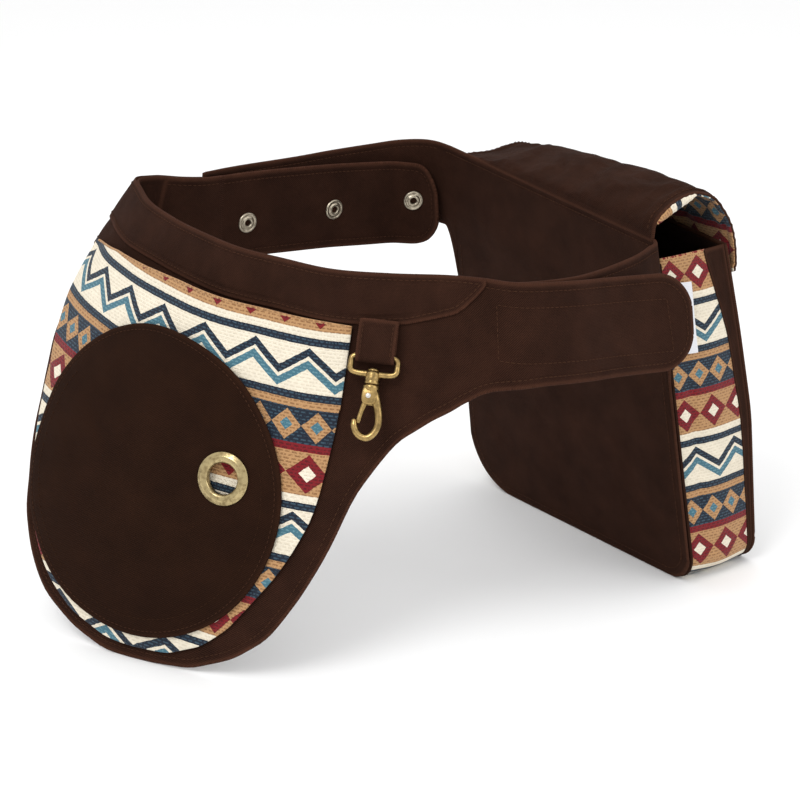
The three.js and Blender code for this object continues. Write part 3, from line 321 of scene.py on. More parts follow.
def sheet(name, outer, inner, pattern, rim=3):
    """Closed fabric sheet with round edges from two (rows, columns, 3) grids in mm."""
    rows, columns, _ = outer.shape
    count = rows * columns
    index = np.arange(count).reshape(rows, columns)
    ring = np.concatenate([index[:, 0], index[-1, 1:], index[-2::-1, -1], index[0, -2:0:-1]])
    size = len(ring)
    row, column = ring // columns, ring % columns
    inner_row, inner_column = np.clip(row, 1, rows - 2), np.clip(column, 1, columns - 2)
    grid = (outer + inner) / 2
    outer, inner, middle = outer.reshape(-1, 3), inner.reshape(-1, 3), grid.reshape(-1, 3)

    # Directions at the edge: through the cloth, and away from the sheet.
    away = middle[ring] - grid[inner_row, inner_column]
    normal = unit(outer[ring] - inner[ring])
    tangent = unit(np.roll(middle[ring], -1, 0) - np.roll(middle[ring], 1, 0))
    corner = (row != inner_row) & (column != inner_column)
    side = np.cross(normal, tangent)
    side *= np.sign((side * away).sum(1, keepdims=True)) + 1e-9
    flat_away = away - normal * (away * normal).sum(1, keepdims=True)
    side = unit(np.where(corner[:, None], flat_away, side))
    half = np.linalg.norm(outer[ring] - inner[ring], axis=1, keepdims=True) / 2
    turns = [math.pi * k / (rim + 1) for k in range(1, rim + 1)]
    rims = [middle[ring] + normal * half * math.cos(a) + side * half * math.sin(a) for a in turns]

    pattern = pattern.reshape(-1, 2)
    edge = edge_distance(middle, middle[ring])
    face = [np.full(size, 1 - k / (rim + 1)) for k in range(1, rim + 1)]
    attributes = {"pat": pad(np.vstack([pattern, pattern] + [pattern[ring]] * rim)),
                  "edge": np.concatenate([edge, edge] + [np.zeros(size)] * rim),
                  "face": np.concatenate([np.ones(count), np.zeros(count)] + face)}
    a, b = index[:-1, :-1].ravel(), index[:-1, 1:].ravel()
    c, d = index[1:, 1:].ravel(), index[1:, :-1].ravel()
    faces = [tuple(q) for q in np.stack([a, b, c, d], 1)]
    faces += [tuple(q) for q in np.stack([a, d, c, b], 1) + count]
    loops = [ring] + [2 * count + k * size + np.arange(size) for k in range(rim)] + [ring + count]
    for this, following in zip(loops[:-1], loops[1:]):
        for k in range(size):
            k2 = (k + 1) % size
            faces.append((following[k2], following[k], this[k], this[k2]))
    ob = closed_mesh(name, np.vstack([outer, inner] + rims), faces, attributes)
    ob["mm_ring"] = 0       # custom property that every sheet carries
    return ob


def tube(path, radius, sides, closed=False, up=None, squash=1.0):
    """Swept rod through path in mm with round ends: vertices, faces, cloth coordinates.

    radius is a number or one per point; squash flattens the rod along up.
    """
    path = np.asarray(path, float)
    count = len(path)
    radius = np.broadcast_to(np.asarray(radius, float), (count,))
    if closed:
        tangents = unit(np.roll(path, -1, 0) - np.roll(path, 1, 0))
    else:
        tangents = unit(np.gradient(path, axis=0))
    reference = np.array([0, 0, 1.0] if up is None else up, float)
    side = reference - tangents[0] * (reference @ tangents[0])
    if np.linalg.norm(side) < 1e-3:
        side = np.array([1.0, 0, 0]) - tangents[0] * tangents[0][0]
    side = unit(side)
    normals = np.zeros_like(path)
    for k, tangent in enumerate(tangents):
        source = side if up is None else reference
        side = unit(source - tangent * (source @ tangent))
        normals[k] = side
    across = np.cross(tangents, normals)
    angles = np.linspace(0, 2 * math.pi, sides, endpoint=False)
    vertices = (path[:, None, :] + radius[:, None, None] * (
        np.cos(angles)[None, :, None] * normals[:, None, :] * squash
        + np.sin(angles)[None, :, None] * across[:, None, :])).reshape(-1, 3)
    length = run_length(path)
    pattern = np.stack([np.repeat(length, sides), np.tile(angles, count) * np.repeat(radius, sides),
                        np.zeros(count * sides)], 1)
    faces = []
    for k in range(count if closed else count - 1):
        here, there = k * sides, (k + 1) % count * sides
        for j in range(sides):
            j2 = (j + 1) % sides
            faces.append((here + j, there + j, there + j2, here + j2))
    if closed:
        return vertices, faces, pattern

    caps, cap_pattern = [], []
    for end, sign in ((0, -1), (count - 1, 1)):
        previous = end * sides
        outward = tangents[end] * sign * radius[end]
        for share in (0.45, 0.8):
            start = len(vertices) + len(caps)
            ring_radius = radius[end] * math.sqrt(1 - share * share)
            for angle in angles:
                caps.append(path[end] + outward * share * 0.8 + ring_radius * (
                    math.cos(angle) * normals[end] * squash + math.sin(angle) * across[end]))
                cap_pattern.append([length[end], angle * radius[end], 0])
            for j in range(sides):
                j2 = (j + 1) % sides
                quad = (previous + j, start + j, start + j2, previous + j2)
                faces.append(quad if sign > 0 else tuple(reversed(quad)))
            previous = start
        apex = len(vertices) + len(caps)
        caps.append(path[end] + outward * 0.85)
        cap_pattern.append([length[end], 0, 0])
        for j in range(sides):
            triangle = (previous + j, apex, previous + (j + 1) % sides)
            faces.append(triangle if sign > 0 else tuple(reversed(triangle)))
    return np.vstack([vertices, caps]), faces, np.vstack([pattern, cap_pattern])


def tube_object(name, path, radius, sides):
    vertices, faces, pattern = tube(path, radius, sides)
    count = len(vertices)
    return closed_mesh(name, vertices, faces, {
        "pat": pattern, "edge": np.full(count, INLAND), "face": np.ones(count)})


def is_closed(profile):
    return np.linalg.norm(np.subtract(profile[0], profile[-1])) < 1e-9


def round_corners(profile, radius, steps):
    points = [np.array(p, float) for p in profile]
    closed = is_closed(profile)
    last = len(points) - 1
    out = []
    for i in range(last if closed else last + 1):
        if not closed and i in (0, last):
            out.append(points[i])
            continue
        before = points[i - 1] if i > 0 else points[last - 1]
        corner, after = points[i], points[i + 1]
        back, ahead = np.linalg.norm(before - corner), np.linalg.norm(after - corner)
        cut = min(radius, back * 0.45, ahead * 0.45)
        start = corner + (before - corner) / back * cut
        end = corner + (after - corner) / ahead * cut
        for k in range(steps + 1):
            t = k / steps
            out.append((1 - t) ** 2 * start + 2 * t * (1 - t) * corner + t * t * end)
    if closed:
        out.append(out[0])
    return [tuple(p) for p in out]


def lathe(profile, matrix, segments, corner=0, steps=0):
    """Revolve (radius, z) about the local z of matrix, its corners rounded if asked.

    The profile ends on the axis or closes on itself.
    """
    points = round_corners(profile, corner, steps) if corner else list(profile)
    closed = is_closed(points)
    if closed:
        points = points[:-1]
    vertices, faces, rings = [], [], []
    for radius, z in points:
        if radius < 1e-6:
            rings.append([len(vertices)])
            vertices.append((0, 0, z))
            continue
        rings.append(list(range(len(vertices), len(vertices) + segments)))
        for k in range(segments):
            angle = 2 * math.pi * k / segments
            vertices.append((radius * math.cos(angle), radius * math.sin(angle), z))
    pairs = list(zip(rings[:-1], rings[1:])) + ([(rings[-1], rings[0])] if closed else [])
    for this, following in pairs:
        if len(this) == 1 and len(following) == 1:
            continue
        for k in range(segments):
            k2 = (k + 1) % segments
            if len(this) == 1:
                faces.append((this[0], following[k2], following[k]))
            elif len(following) == 1:
                faces.append((this[k], this[k2], following[0]))
            else:
                faces.append((this[k], this[k2], following[k2], following[k]))
    vertices = np.array(vertices, float)
    return (np.hstack([vertices, np.ones((len(vertices), 1))]) @ matrix.T)[:, :3], faces


def ring_faces(rings, count):
    """Faces of stacked rings of count points, capped at both ends."""
    faces = []
    for r in range(rings - 1):
        here, there = r * count, (r + 1) * count
        for k in range(count):
            k2 = (k + 1) % count
            faces.append((here + k, here + k2, there + k2, there + k))
    faces.append(tuple(reversed(range(count))))
    faces.append(tuple(range((rings - 1) * count, rings * count)))
    return faces


def merge_parts(name, parts):
    """Several (vertices, faces) in mm as one object."""
    all_vertices, all_faces, offset = [], [], 0
    for vertices, faces in parts:
        faces = outward_faces(vertices, faces)
        all_vertices.append(vertices)
        all_faces += [tuple(int(i) + offset for i in f) for f in faces]
        offset += len(vertices)
    vertices = to_frame(np.vstack(all_vertices))
    return mesh_object(name, vertices, all_faces, {"edge": np.full(len(vertices), INLAND)})


def basis(origin, x, y, z):
    matrix = np.eye(4)
    matrix[:3, 0], matrix[:3, 1], matrix[:3, 2], matrix[:3, 3] = x, y, z, origin
    return matrix


def place(matrix, points):
    return np.asarray(points, float) @ matrix[:3, :3].T + matrix[:3, 3]


def surface_frame(surface, station, drop):
    """Axes on a surface: x along, y up the ruling, z outward."""
    outward = surface.normal(station, drop)
    up = -surface.down(station)
    return basis(surface.at(station, drop, 0.0), unit(np.cross(up, outward)), up, outward)


def grid(stations, upper, lower, rows):
    """Station and drop grids between an upper and a lower edge."""
    upper = np.broadcast_to(upper, stations.shape)[:, None]
    lower = np.broadcast_to(lower, stations.shape)[:, None]
    drops = upper + (lower - upper) * np.linspace(0, 1, rows)[None, :]
    return np.repeat(stations[:, None], rows, 1), drops


# A stitch from end to end: place along its length, share of its width, height in mm.
STITCH_RINGS = [(-0.5, 0.35, -0.30), (-0.36, 0.85, 0.0), (-0.15, 1.0, 0.12),
                (0.15, 1.0, 0.12), (0.36, 0.85, 0.0), (0.5, 0.35, -0.30)]
STITCH_SIDES = 6


def resample(path, pitch, normals):
    """Points at an even pitch: positions, tangents, normals and the true pitch."""
    lengths = run_length(path)
    total = lengths[-1]
    count = max(int(round(total / pitch)), 1)
    at = (np.arange(count) + 0.5) * total / count
    ahead = sample(path, lengths, np.minimum(at + 0.8, total))
    behind = sample(path, lengths, np.maximum(at - 0.8, 0))
    return (sample(path, lengths, at), unit(ahead - behind),
            unit(sample(normals, lengths, at)), total / count)


def stitches(name, lines, width, pitch=2.9, length=2.2, lift=0.12):
    """Many short stitches as one piece; lines is a list of (path, normals) in mm."""
    sides = STITCH_SIDES
    angles = np.linspace(0, 2 * math.pi, sides, endpoint=False)
    rings = len(STITCH_RINGS)
    pattern = []
    for ring in range(rings - 1):
        here, there = ring * sides, (ring + 1) * sides
        for j in range(sides):
            j2 = (j + 1) % sides
            pattern.append((here + j, there + j, there + j2, here + j2))
    pattern.append(tuple(range(sides)))
    pattern.append(tuple(reversed(range((rings - 1) * sides, rings * sides))))

    vertices, faces, offset = [], [], 0
    for path, line_normals in lines:
        centres, tangents, normals, step = resample(path, pitch, line_normals)
        jitter = np.random.RandomState(len(centres)).uniform(-1, 1, (len(centres), 2))
        normals = unit(normals - tangents * (normals * tangents).sum(1, keepdims=True))
        tangents = unit(tangents + np.cross(normals, tangents) * (jitter[:, :1] * 0.07))
        sideways = np.cross(normals, tangents)
        lengths = length * step / pitch * (1 + 0.08 * jitter[:, 1])
        blocks = []
        for along, share, height in STITCH_RINGS:
            middle = centres + tangents * (along * lengths)[:, None] + normals * (lift + height)
            blocks.append(middle[:, None, :] + width * share * (
                np.cos(angles)[None, :, None] * normals[:, None, :] * 0.8
                + np.sin(angles)[None, :, None] * sideways[:, None, :]))
        vertices.append(np.stack(blocks, 1).reshape(-1, 3))
        for _ in centres:
            faces += [tuple(i + offset for i in f) for f in pattern]
            offset += rings * sides
    vertices = np.vstack(vertices)
    return closed_mesh(name, vertices, faces, {"edge": np.full(len(vertices), INLAND)})


CLOTH_FRAMES = 26
CLOTH_STIFFNESS = 12.0


def settle_cloth(points, normals, pin, limit, grow, step=2):
    """Movement along the normals, in mm, of a cloth a little too large for its outline.

    A short simulation runs on every step-th point, held where pin is 1; the result is
    kept softly within +-limit mm and brought back to the full grid.
    """
    full_rows, full_columns = points.shape[:2]
    rows = np.unique(np.concatenate([np.arange(0, full_rows, step), [full_rows - 1]]))
    columns = np.unique(np.concatenate([np.arange(0, full_columns, step), [full_columns - 1]]))
    coarse = np.ix_(rows, columns)
    points, normals, pin = points[coarse], normals[coarse], pin[coarse]
    n, m = points.shape[:2]
    x, y = np.meshgrid(np.arange(n), np.arange(m), indexing="ij")
    uneven = 0.25 * (1 - pin) * ripple(x * 7.0, y * 7.0, wave=31.0, seed=12)
    start = points + normals * uneven[..., None]
    faces = [(i * m + j, (i + 1) * m + j, (i + 1) * m + j + 1, i * m + j + 1)
             for i in range(n - 1) for j in range(m - 1)]
    mesh = bpy.data.meshes.new("cloth_work")
    mesh.from_pydata([tuple(v) for v in (start * 0.01).reshape(-1, 3)], [], faces)
    ob = bpy.data.objects.new("cloth_work", mesh)
    scene = bpy.context.scene
    scene.collection.objects.link(ob)
    group = ob.vertex_groups.new(name="pin")
    for k, weight in enumerate(pin.ravel()):
        if weight > 0:
            group.add([k], float(weight), "REPLACE")
    modifier = ob.modifiers.new("cloth", "CLOTH")
    cloth = modifier.settings
    cloth.quality, cloth.mass, cloth.air_damping = 6, 0.25, 2.0
    cloth.tension_stiffness = cloth.compression_stiffness = CLOTH_STIFFNESS
    cloth.shear_stiffness, cloth.bending_stiffness = CLOTH_STIFFNESS * 0.4, 0.35
    cloth.tension_damping = cloth.compression_damping = cloth.shear_damping = 8.0
    cloth.bending_damping = 1.0
    cloth.vertex_group_mass = "pin"
    cloth.pin_stiffness = 1.0
    cloth.shrink_min = cloth.shrink_max = -grow
    cloth.effector_weights.gravity = 0.0
    modifier.collision_settings.use_collision = False
    modifier.collision_settings.use_self_collision = False
    modifier.point_cache.frame_start, modifier.point_cache.frame_end = 1, CLOTH_FRAMES
    for k in range(1, CLOTH_FRAMES + 1):
        scene.frame_set(k)
    settled = ob.evaluated_get(bpy.context.evaluated_depsgraph_get()).data.vertices
    found = np.empty(len(settled) * 3, np.float32)
    settled.foreach_get("co", found)
    bpy.data.objects.remove(ob, do_unlink=True)
    bpy.data.meshes.remove(mesh)
    scene.frame_set(1)
    moved = ((found.reshape(n, m, 3) * 100.0 - points) * normals).sum(-1)
    if not np.isfinite(moved).all():        # the simulation blew up
        moved = np.zeros((n, m))
    moved = limit * np.tanh(moved / limit)
    moved = np.stack([np.interp(np.arange(full_rows), rows, moved[:, k]) for k in range(m)], 1)
    return np.stack([np.interp(np.arange(full_columns), columns, row) for row in moved], 0)


# ------------------------------------------------------------------ shader nodes
class Value:
    """A shader output; arithmetic on it makes Math nodes."""

    def __init__(self, shader, socket):
        self.shader, self.socket = shader, socket

    def op(self, name, *others):
        return self.shader.math(name, self, *others)

    def __add__(self, other): return self.op("ADD", other)
    def __sub__(self, other): return self.op("SUBTRACT", other)
    def __rsub__(self, other): return self.shader.math("SUBTRACT", other, self)
    def __mul__(self, other): return self.op("MULTIPLY", other)
    def __truediv__(self, other): return self.op("DIVIDE", other)
    def abs(self): return self.op("ABSOLUTE")
    def frac(self): return self.op("FRACT")
    def floor(self): return self.op("FLOOR")
    def sin(self): return self.op("SINE")
    def lt(self, other): return self.op("LESS_THAN", other)
    def gt(self, other): return self.op("GREATER_THAN", other)

    def ridges(self, rate):
        """Sine ridges from 0 to 1."""
        return (self * rate).sin() * 0.5 + 0.5

    def off_centre(self):
        """Distance from the middle of each repeat of 1."""
        return (self.frac() - 0.5).abs()


class Shader:
    """A Principled material and short ways to make its nodes."""

    def __init__(self, name):
        self.material = bpy.data.materials.new(name)
        self.material.use_nodes = True
        self.tree = self.material.node_tree
        self.tree.nodes.clear()
        output = self.node("OutputMaterial")
        self.principled = self.node("BsdfPrincipled")
        self.tree.links.new(self.principled.outputs[0], output.inputs[0])

    def node(self, kind):
        return self.tree.nodes.new("ShaderNode" + kind)

    def put(self, socket, value):
        if isinstance(value, Value):
            self.tree.links.new(value.socket, socket)
        else:
            socket.default_value = value

    def set(self, **inputs):
        """Principled inputs, with _ for each space in their names."""
        for key, value in inputs.items():
            self.put(self.principled.inputs[key.replace("_", " ")], value)

    def math(self, name, *values):
        node = self.node("Math")
        node.operation = name
        for k, value in enumerate(values):
            self.put(node.inputs[k], value)
        return Value(self, node.outputs[0])

    def attribute(self, name, output):
        node = self.node("Attribute")
        node.attribute_name = name
        return Value(self, node.outputs[output])

    def edge(self):
        return self.attribute("edge", "Fac")

    def cloth(self):
        """Cloth coordinates in mm: along, down, and both as a vector."""
        node = self.node("SeparateXYZ")
        self.put(node.inputs[0], self.attribute("pat", "Vector"))
        along, down = Value(self, node.outputs[0]), Value(self, node.outputs[1])
        joined = self.node("CombineXYZ")
        self.put(joined.inputs[0], along)
        self.put(joined.inputs[1], down)
        return along, down, Value(self, joined.outputs[0])

    def object_coordinates(self):
        return Value(self, self.node("TexCoord").outputs["Object"])

    def noise(self, vector, scale, detail=3.0, rough=0.55):
        node = self.node("TexNoise")
        self.put(node.inputs["Vector"], vector)
        node.inputs["Scale"].default_value = scale
        node.inputs["Detail"].default_value = detail
        node.inputs["Roughness"].default_value = rough
        return Value(self, node.outputs[0])

    def mix(self, factor, first, second):
        node = self.node("Mix")
        node.data_type = "RGBA"
        node.clamp_factor = True
        inputs = {i.identifier: i for i in node.inputs}
        self.put(inputs["Factor_Float"], factor)
        self.put(inputs["A_Color"], first)
        self.put(inputs["B_Color"], second)
        return Value(self, [o for o in node.outputs if o.identifier == "Result_Color"][0])

    def step(self, value, low, high):
        """0 below low, 1 above high, smooth between."""
        node = self.node("MapRange")
        node.interpolation_type = "SMOOTHSTEP"
        self.put(node.inputs["Value"], value)
        node.inputs["From Min"].default_value = low
        node.inputs["From Max"].default_value = high
        return Value(self, node.outputs[0])

    def bump(self, height, strength, distance):
        node = self.node("Bump")
        node.inputs["Strength"].default_value = strength
        node.inputs["Distance"].default_value = distance
        self.put(node.inputs["Height"], height)
        return Value(self, node.outputs[0])


def colour(code):
    """Linear RGBA of a hex sRGB code."""
    channels = [int(code[i:i + 2], 16) / 255 for i in (0, 2, 4)]
    return tuple(x / 12.92 if x <= 0.04045 else ((x + 0.055) / 1.055) ** 2.4
                 for x in channels) + (1.0,)


def scaled(rgba, factor):
    return tuple(min(x * factor, 1) for x in rgba[:3]) + (1.0,)


def canvas(name, base, light, pitch, sheen, wear, bump):
    """Cotton twill: diagonal ribs crossed by fine picks, worn pale at the edges."""
    s = Shader(name)
    along, down, vector = s.cloth()
    edge = s.edge()
    broad = s.noise(vector, scale=0.09)
    wobble = s.noise(vector, scale=0.9, detail=2.0)
    bent_along = along + (wobble - 0.5) * 0.5
    bent_down = down + (wobble - 0.5) * 0.35
    pick_rate = 2 * math.pi / (pitch * 0.62)
    rib = (bent_along + bent_down).ridges(2 * math.pi / pitch)
    weft = bent_down.ridges(pick_rate)
    warp = bent_along.ridges(pick_rate)
    weave = rib * 0.6 + weft * 0.22 + warp * 0.18

    mottle = s.noise(vector, scale=0.045, detail=5.0, rough=0.6)
    fleck = s.step(s.noise(vector, scale=2.6, detail=1.0), low=0.62, high=0.75)
    shade = s.mix(weave * 0.62 + (mottle - 0.5) * 0.5, base, light)
    shade = s.mix(fleck * 0.22, shade, scaled(light, 2.4))
    patchy = s.noise(vector, scale=0.5, detail=4.0) * 0.9 + 0.25
    worn = (1.0 - s.step(edge, low=0.2, high=1.9)) * patchy
    shade = s.mix(worn * wear, shade, scaled(light, 1.9))

    # The seam pulls a puckered groove a few millimetres from the edge.
    groove = 1.0 - s.step((edge - 3.6).abs(), low=0.0, high=1.6)
    pucker = ((along + down) * 2.05).sin() * groove
    height = weave * 0.2 + broad * 0.5 - groove * 0.28 + pucker * 0.07
    s.set(Base_Color=shade, Roughness=weave * -0.12 + 0.93,
          Sheen_Weight=sheen, Sheen_Roughness=0.45, Sheen_Tint=scaled(light, 3.0),
          Specular_IOR_Level=0.05, Normal=s.bump(height, strength=bump, distance=0.0011))
    return s.material


# Yarns of the print: colour, colour of its floats, how much the floats show.
YARNS = dict(cream=("E6DCC8", "CBBEA4", 0.38), tan=("B48A5F", "7F5733", 0.75),
             red=("78131C", "4C0C12", 0.8), navy=("15202E", "405A6A", 0.62),
             teal=("416C7B", "7199A4", 0.6))
PRINT_REPEAT = 84.0
FLOAT_HEIGHT, FLOAT_LENGTH = 1.75, 3.3


def woven_print():
    """Level bands of chevrons, diamonds and stripes, woven in five colours."""
    s = Shader("woven_print_fabric")
    true_along, true_down, vector = s.cloth()
    sway = s.noise(vector, scale=0.35, detail=2.0) - 0.5
    shiver = s.noise(vector, scale=1.6, detail=2.0) - 0.5
    along = true_along + sway * 0.7
    down = true_down + sway * 0.5 + shiver * 0.2
    level = (down / PRINT_REPEAT).frac() * PRINT_REPEAT

    def band(low, high):
        return level.gt(low) * level.lt(high)

    def diamonds(low, high, wide, size=1.0):
        across = ((along / wide).frac() * 2.0 - 1.0).abs()
        upright = (level - (low + high) / 2).abs() * (2.0 / (high - low))
        return (across + upright).lt(size) * band(low, high)

    def chevron(low, high, shift, wide=30.0, rise=11.0, thick=4.4):
        fold = ((along / wide).frac() * 2.0 - 1.0).abs() - 0.5
        line = level - ((low + high) / 2 + shift) - fold * rise
        return line.abs().lt(thick / 2) * band(low, high)

    # fine brick-like floats of the weave
    row = (down / FLOAT_HEIGHT).floor()
    shift = (row * 0.5).frac() + (row * 0.37).sin() * 0.18
    dash = (along / FLOAT_LENGTH + shift).off_centre()
    line = (down / FLOAT_HEIGHT).off_centre()
    floats = (1.0 - s.step(dash, low=0.30, high=0.42)) * (1.0 - s.step(line, low=0.16, high=0.30))
    floats = floats * s.step(s.noise(vector, scale=0.7, detail=1.0), low=0.36, high=0.5)
    yarn = {key: s.mix(floats * share, colour(plain), colour(over))
            for key, (plain, over, share) in YARNS.items()}

    cloth = s.mix(band(0, 22), yarn["tan"], yarn["tan"])
    for mask, key in (
            (diamonds(1, 21, wide=20.0), "red"),
            (diamonds(1, 21, wide=20.0, size=0.42), "cream"),
            (band(22, 26), "cream"),
            (band(26, 30), "navy"),
            (band(30, 54), "cream"),
            (chevron(30, 54, shift=-3.2), "navy"),
            (chevron(30, 54, shift=3.2), "teal"),
            (band(54, 58), "navy"),
            (band(58, 62), "tan"),
            (band(62, 80), "navy"),
            (diamonds(63, 79, wide=15.0), "tan"),
            (diamonds(63, 79, wide=15.0, size=0.42), "teal"),
            (band(80, 84), "red")):
        cloth = s.mix(mask, cloth, yarn[key])
    grain = s.noise(vector, scale=0.16, detail=4.0)
    cloth = s.mix((grain - 0.35) * 0.30, cloth, colour("3A2A20"))

    weft = down.ridges(2 * math.pi / 0.9)
    warp = along.ridges(2 * math.pi / 0.75)
    groove = 1.0 - s.step((s.edge() - 3.4).abs(), low=0.0, high=1.4)
    height = floats * 0.45 + weft * 0.16 + warp * 0.12 + grain * 0.3 - groove * 0.15
    s.set(Base_Color=cloth, Normal=s.bump(height, strength=0.6, distance=0.0011),
          Roughness=0.86, Sheen_Weight=0.12, Specular_IOR_Level=0.22)
    return s.material


def metal(name, base, dark, rough):
    """Metal with a patina, bright on its edges and dark in its hollows."""
    s = Shader(name)
    place_in_object = s.object_coordinates()
    stain = s.noise(place_in_object, scale=315.0, detail=5.0, rough=0.65)
    patina = s.step(stain, low=0.38, high=0.68)
    fine = s.noise(place_in_object, scale=2700.0)
    pointiness = Value(s, s.node("NewGeometry").outputs["Pointiness"])
    ridge = s.step(pointiness, low=0.47, high=0.58)
    hollow = 1.0 - s.step(pointiness, low=0.40, high=0.49)
    shade = s.mix(patina, base, dark)
    shade = s.mix(ridge * 0.55, shade, scaled(base, 1.35))
    shade = s.mix(hollow * 0.75, shade, scaled(dark, 0.25))
    s.set(Base_Color=shade, Metallic=1.0, Roughness=patina * 0.20 + fine * 0.08 + rough,
          Normal=s.bump(fine, strength=0.12, distance=0.0002))
    return s.material


def tape(name, base, hooks):
    """Hook tape with rows of dots, or loop tape with a rough pile."""
    s = Shader(name)
    along, down, vector = s.cloth()
    pile = s.noise(vector, scale=3.0 if hooks else 1.6, detail=4.0, rough=0.7)
    if hooks:
        dots = [1.0 - s.step((way / 1.1).off_centre(), low=0.12, high=0.3) for way in (along, down)]
        pile = pile * 0.3 + dots[0] * dots[1]
    s.set(Base_Color=s.mix(pile * 0.8, base, scaled(base, 3.2)), Roughness=0.95,
          Normal=s.bump(pile, strength=1.0, distance=0.0012))
    return s.material


def thread(name, base, light):
    s = Shader(name)
    place_in_object = s.object_coordinates()
    fibre = s.noise(place_in_object, scale=2600.0, detail=2.0)
    fading = s.noise(place_in_object, scale=160.0, detail=2.0)
    s.set(Base_Color=s.mix(fibre * 0.7 + fading * 0.4 - 0.1, base, light), Roughness=0.9,
          Specular_IOR_Level=0.05, Normal=s.bump(fibre, strength=0.6, distance=0.0003))
    return s.material


def satin(name):
    s = Shader(name)
    along, down, vector = s.cloth()
    weave = down.ridges(7.0) * 0.5 + along.ridges(9.0) * 0.3 + s.noise(vector, scale=0.4) * 0.3
    s.set(Base_Color=s.mix(weave, (0.60, 0.60, 0.63, 1), (0.74, 0.74, 0.77, 1)),
          Roughness=0.55, Sheen_Weight=0.2,
          Normal=s.bump(weave, strength=0.25, distance=0.0003))
    return s.material


CANVAS = canvas("brown_canvas_fabric", colour("120906"), colour("4A2E22"),
                pitch=1.15, sheen=0.03, wear=0.3, bump=1.0)
CANVAS_DARK = canvas("brown_canvas_felted", colour("150A06"), colour("351F13"),
                     pitch=1.2, sheen=0.02, wear=0.16, bump=0.7)
PRINT = woven_print()
LINING = canvas("lining_fabric", colour("160D0A"), colour("261812"),
                pitch=0.8, sheen=0.05, wear=0.1, bump=0.3)
THREAD = thread("topstitch_thread", colour("2C1A12"), colour("543829"))
THREAD_TAN = thread("patch_thread", colour("23140D"), colour("3C2618"))
BRASS = metal("antique_brass_metal", base=(0.36, 0.245, 0.095, 1),
              dark=(0.085, 0.055, 0.025, 1), rough=0.2)
EYELET = metal("eyelet_metal", base=(0.44, 0.35, 0.18, 1), dark=(0.17, 0.12, 0.055, 1), rough=0.17)
SNAP = metal("press_stud_metal", base=(0.50, 0.44, 0.34, 1), dark=(0.24, 0.20, 0.15, 1), rough=0.27)
STEEL = metal("rivet_steel_metal", base=(0.62, 0.60, 0.57, 1), dark=(0.36, 0.34, 0.32, 1),
              rough=0.22)
HOOK_TAPE = tape("hook_tape", colour("1F130F"), hooks=True)
LOOP_TAPE = tape("loop_tape", colour("23160F"), hooks=False)
LABEL = satin("label_satin")


def fit(ob, material, body=None, replaces=(), bend=None):
    """Give a piece its material and the body it rides, and hide the CAD pieces it replaces; with a
    bend, its transform is baked into the mesh.
    """
    ob.data.materials.clear()
    ob.data.materials.append(material)
    if body:
        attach(ob, body)
    if replaces:
        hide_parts(*replaces)
    if bend:
        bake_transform(ob)


def fit_canvas(ob, body=None, replaces=(), bend=None):
    fit(ob, CANVAS, body, replaces, bend)


def sew(name, lines, body=None, slot="brown_canvas", material=THREAD, bend=None, **sizes):
    fit(stitches(name, lines, **sizes), material, body, bend=bend)


# ------------------------------------------------------------------ front unit
def tip_inset(distance):
    """How far the round tip draws each edge in, at a distance from the tail's end."""
    rest = np.clip(TIP_R - distance, 0, None)
    return TIP_R - np.sqrt(np.maximum(TIP_R ** 2 - rest * rest, 0))


FRONT_END = FRONT.last
FRONT_STEP = float(np.linalg.norm(FRONT.on(18.0, 25.0) - FRONT.on(19.0, 25.0)))


def panel_upper(station):
    return tip_inset((FRONT_END - station) * FRONT_STEP)


def panel_lower(station):
    return rounded(PANEL_LOWER, station, soft=0.16) - panel_upper(station)


def front_wave(station, drop):
    """Soft unevenness shared by every layer on the front surface, mm."""
    along = FRONT.arc(station)
    fade = np.clip((station - 0.3) / 1.0, 0, 1)
    waves = 0.75 * ripple(along, drop, wave=95.0, seed=1) + 0.3 * ripple(along, drop, wave=34.0, seed=4)
    return waves * fade * np.clip(drop / 30.0 + 0.25, 0, 1)


def front_sheet(name, stations, upper, lower, rows, lift, thick, hang_print=False):
    """Sheet on the front surface; lift is a number or a function of station and drop."""
    across, down = grid(stations, upper, np.maximum(lower, upper + 0.8), rows)
    lift = (lift(across, down) if callable(lift) else lift) + front_wave(across, down)
    inner, outer = FRONT.at(across, down, lift), FRONT.at(across, down, lift + thick)
    if hang_print:
        pattern = np.stack([plan_distance(outer), down - 9.0], -1)
    else:
        pattern = FRONT.pattern(across, down, 90.0)
    return sheet(name, outer, inner, pattern)


tip_stations = FRONT_END - (
    TIP_R * (1 - np.cos(np.linspace(math.pi / 2, 0.16, 22)))) / FRONT_STEP
panel_stations = np.concatenate([
    np.linspace(2.65, FRONT_END - TIP_R / FRONT_STEP - 0.06, 224), tip_stations])
FRONT_TAIL_BEND = ("belt", "front_tail",
                   tuple(to_frame(FRONT.at(FRONT_TAIL_ROOT - 0.35, 25.0, 1.0))),
                   tuple(to_frame(FRONT.at(FRONT_TAIL_ROOT + 0.75, 25.0, 1.0))))
panel = front_sheet("front_belt_panel", panel_stations, panel_upper(panel_stations),
                    panel_lower(panel_stations), rows=92, lift=0.0, thick=PANEL_T)
fit_canvas(panel, None, ("front_panel", "front_tail"), FRONT_TAIL_BEND)


# Waistband facing, ending in a diagonal.
def facing_lower(station):
    level = 24.6 + 0.35 * np.sin(station * 2.3)
    diagonal = rounded(FACING_END, np.maximum(station, FACING_TURN), soft=0.1)
    return np.where(station < FACING_TURN, level, diagonal)


def facing_lift(station, drop):
    return PANEL_T + 0.12 + 0.25 * np.sin(np.clip(drop / 24, 0, 1) * math.pi)


